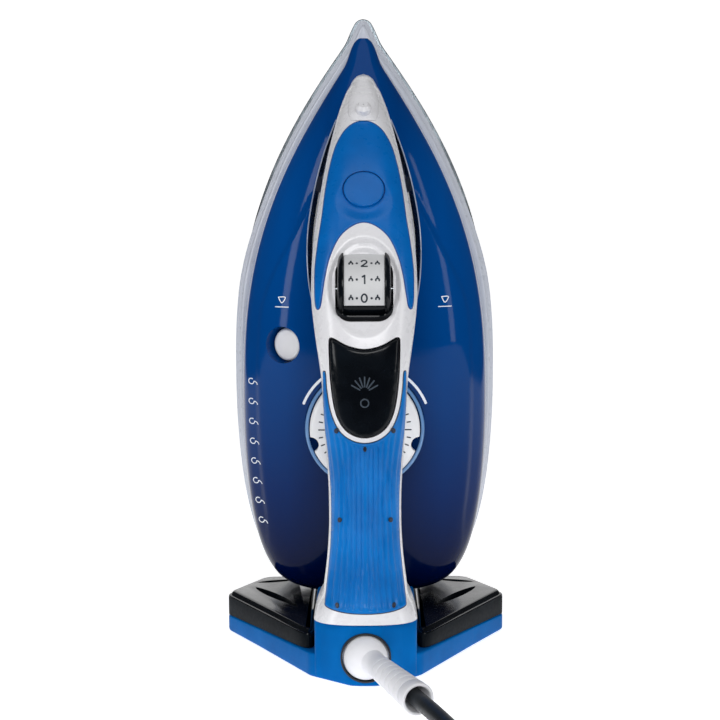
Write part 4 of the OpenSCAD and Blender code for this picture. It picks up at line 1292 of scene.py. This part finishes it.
# ---- Cord guard, tie and plug ----
def add_guard():
    """Ball, neck, ribbed sleeve and mouth, turned about one axis"""
    reach = (MOUTH - BALL).length
    ball_r = 9.9
    start = math.degrees(math.asin(5.4 / ball_r))
    turns = np.radians(np.linspace(2, 180 - start, 40))
    ball = [(ball_r * math.sin(turn), -ball_r * math.cos(turn)) for turn in turns]
    neck = [(5.25, 9.1), (5.0, 10.2), (4.85, 11.5), (4.8, 13.2), (5.0, 14.0)]
    ribs_profile = []
    for i in range(7):
        z = 15.2 + 5.1 * i
        r = 5.15 + 0.21 * i
        ribs_profile += [
            (r, z), (r + 0.12, z + 3.7), (r + 0.02, z + 4.0), (r - 0.42, z + 4.1), (r - 0.42, z + 4.75),
            (r + 0.04, z + 4.9)]
    mouth = [
        (6.7, 51.2), (6.9, reach - 0.9), (6.8, reach - 0.3), (6.5, reach), (6.0, reach), (5.6, reach - 0.3),
        (5.3, reach - 1.2), (4.6, reach - 8), (3.7, reach - 12), (0.2, reach - 12)]
    rings = set_on(revolve(ball + neck + ribs_profile + mouth), BALL, (0, 0, 1), MOUTH - BALL)
    place(loft("guard_sleeve", rings, sharp=38), "lead", "white_guard", "cord_guard")


def add_tie():
    """Flat strap round the coil's left side"""
    half = 31.6 / 2
    centre_x = COIL_AT.x - sum(COIL_R) / 2
    path = filleted([(-half, 0.4), (half, 0.4), (half, 15.2), (-half, 15.2)], [3.4] * 4, 8, gap=3)
    section = [
        (0.38, -3.8), (0.3, -4.1), (-0.3, -4.1), (-0.38, -3.8), (-0.38, 3.8), (-0.3, 4.1), (0.3, 4.1),
        (0.38, 3.8)]
    rings = []
    for offset, y in section:
        x, z = grown(path, offset).T
        rings.append(rows(x + centre_x, COIL_AT.y + y, z) * MM)
    tie = loft("cord_tie", rings + rings[:1], cap_first=False, cap_last=False, sharp=50)
    return place(tie, "lead", "black_tie", "coil_tie")


def add_plug():
    """Two-pin plug: a ribbed strain relief, a waisted body and a flat face"""
    relief = []
    for i in range(5):
        z = 1.0 + 2.7 * i
        r = 4.2 + 0.25 * i
        relief += [(r, z), (r, z + 1.6), (r - 0.45, z + 1.8), (r - 0.45, z + 2.4)]
    body = [
        (5.4, 15.5), (6.6, 18.5), (8.6, 21.5), (11.4, 25), (13.6, 28.4), (14.6, 31), (14.9, 33.5), (15.6, 36),
        (17.0, 38), (18.0, 39.6), (18.3, 41.5), (18.35, 45.0), (18.1, 46.2), (17.4, 46.9), (16.4, 47.0),
        (0.3, 47.0)]
    tilt, turn = math.radians(PLUG_TILT), math.radians(PLUG_TURN)
    axis = (math.cos(turn) * math.cos(tilt), math.sin(turn) * math.cos(tilt), math.sin(tilt))
    rings = set_on(revolve([(3.55, 0.0), (4.0, 0.2)] + relief + body), PLUG_AT, (0, 0, 1), axis)
    return place(loft("plug_shell", rings, sharp=38), "lead", "black_plug", "plug_body")


# ---- Stage ----
def add_stage():
    """Pale floor that bends up into a back wall"""
    bend = 0.9
    side_view = [(-0.36, 0.0), (bend, 0.0)]
    for turn in np.linspace(0.1, math.pi / 2, 16):
        side_view.append((bend + bend * math.sin(turn), bend - bend * math.cos(turn)))
    side_view.append((2 * bend, 4.0))
    edges = [[(x, y, z) for y, z in side_view] for x in (-0.75, 0.75)]
    count = len(side_view)
    faces = [(i, i + 1, count + i + 1, count + i) for i in range(count - 1)]
    floor = make("floor", edges, faces, sharp=80)
    finish = Finish("floor_pale", specular_ior_level=0.2)
    finish.tone(3, "f4f4f5", "f8f8f9").rough(6, 0.7, 0.8)
    finish.shader.inputs["Emission Color"].default_value = (1, 1, 1, 1)
    finish.shader.inputs["Emission Strength"].default_value = 0.72
    floor.data.materials.append(finish.material)


def area_light(name, where, towards, size, power):
    data = bpy.data.lights.new(name, "AREA")
    data.shape = "RECTANGLE"
    data.size, data.size_y = size
    data.energy = power
    lamp = bpy.data.objects.new(name, data)
    bpy.context.scene.collection.objects.link(lamp)
    lamp.location = where
    lamp.rotation_euler = (Vector(towards) - Vector(where)).to_track_quat("-Z", "Y").to_euler()


def add_lights():
    world = bpy.data.worlds.new("studio")
    world.use_nodes = True
    background = world.node_tree.nodes["Background"]
    background.inputs["Color"].default_value = (1, 1, 1, 1)
    background.inputs["Strength"].default_value = 0.05
    bpy.context.scene.world = world
    area_light("key_left", (-0.95, -0.75, 0.55), (0, 0, 0.15), (0.22, 1.1), 5)
    area_light("fill_right", (1.1, -0.6, 0.45), (0, 0, 0.15), (0.18, 1.0), 2.6)
    area_light("top", (0, -0.5, 1.3), (0, 0, 0.1), (1.2, 0.5), 2.4)
    area_light("front", (0.2, -1.5, 0.75), (0, 0, 0.13), (0.9, 0.5), 10)
    bpy.context.scene.view_settings.view_transform = "Standard"


# ---- The scene ----
make_finishes()
add_camera()
add_stage()
add_lights()
cord = add_cord()
dress_cad_nodes()
add_soleplate()
add_skirt()
add_tank()
add_handle()
add_nozzle_hood()
add_wheel()
add_wheel_lip()
add_dial()
add_clean_button()
add_tank_marks()
add_handle_marks()
add_heel()
add_guard()
tie = add_tie()
plug = add_plug()
place(cord, "lead", "black_cord", "cord", "cord_coil")
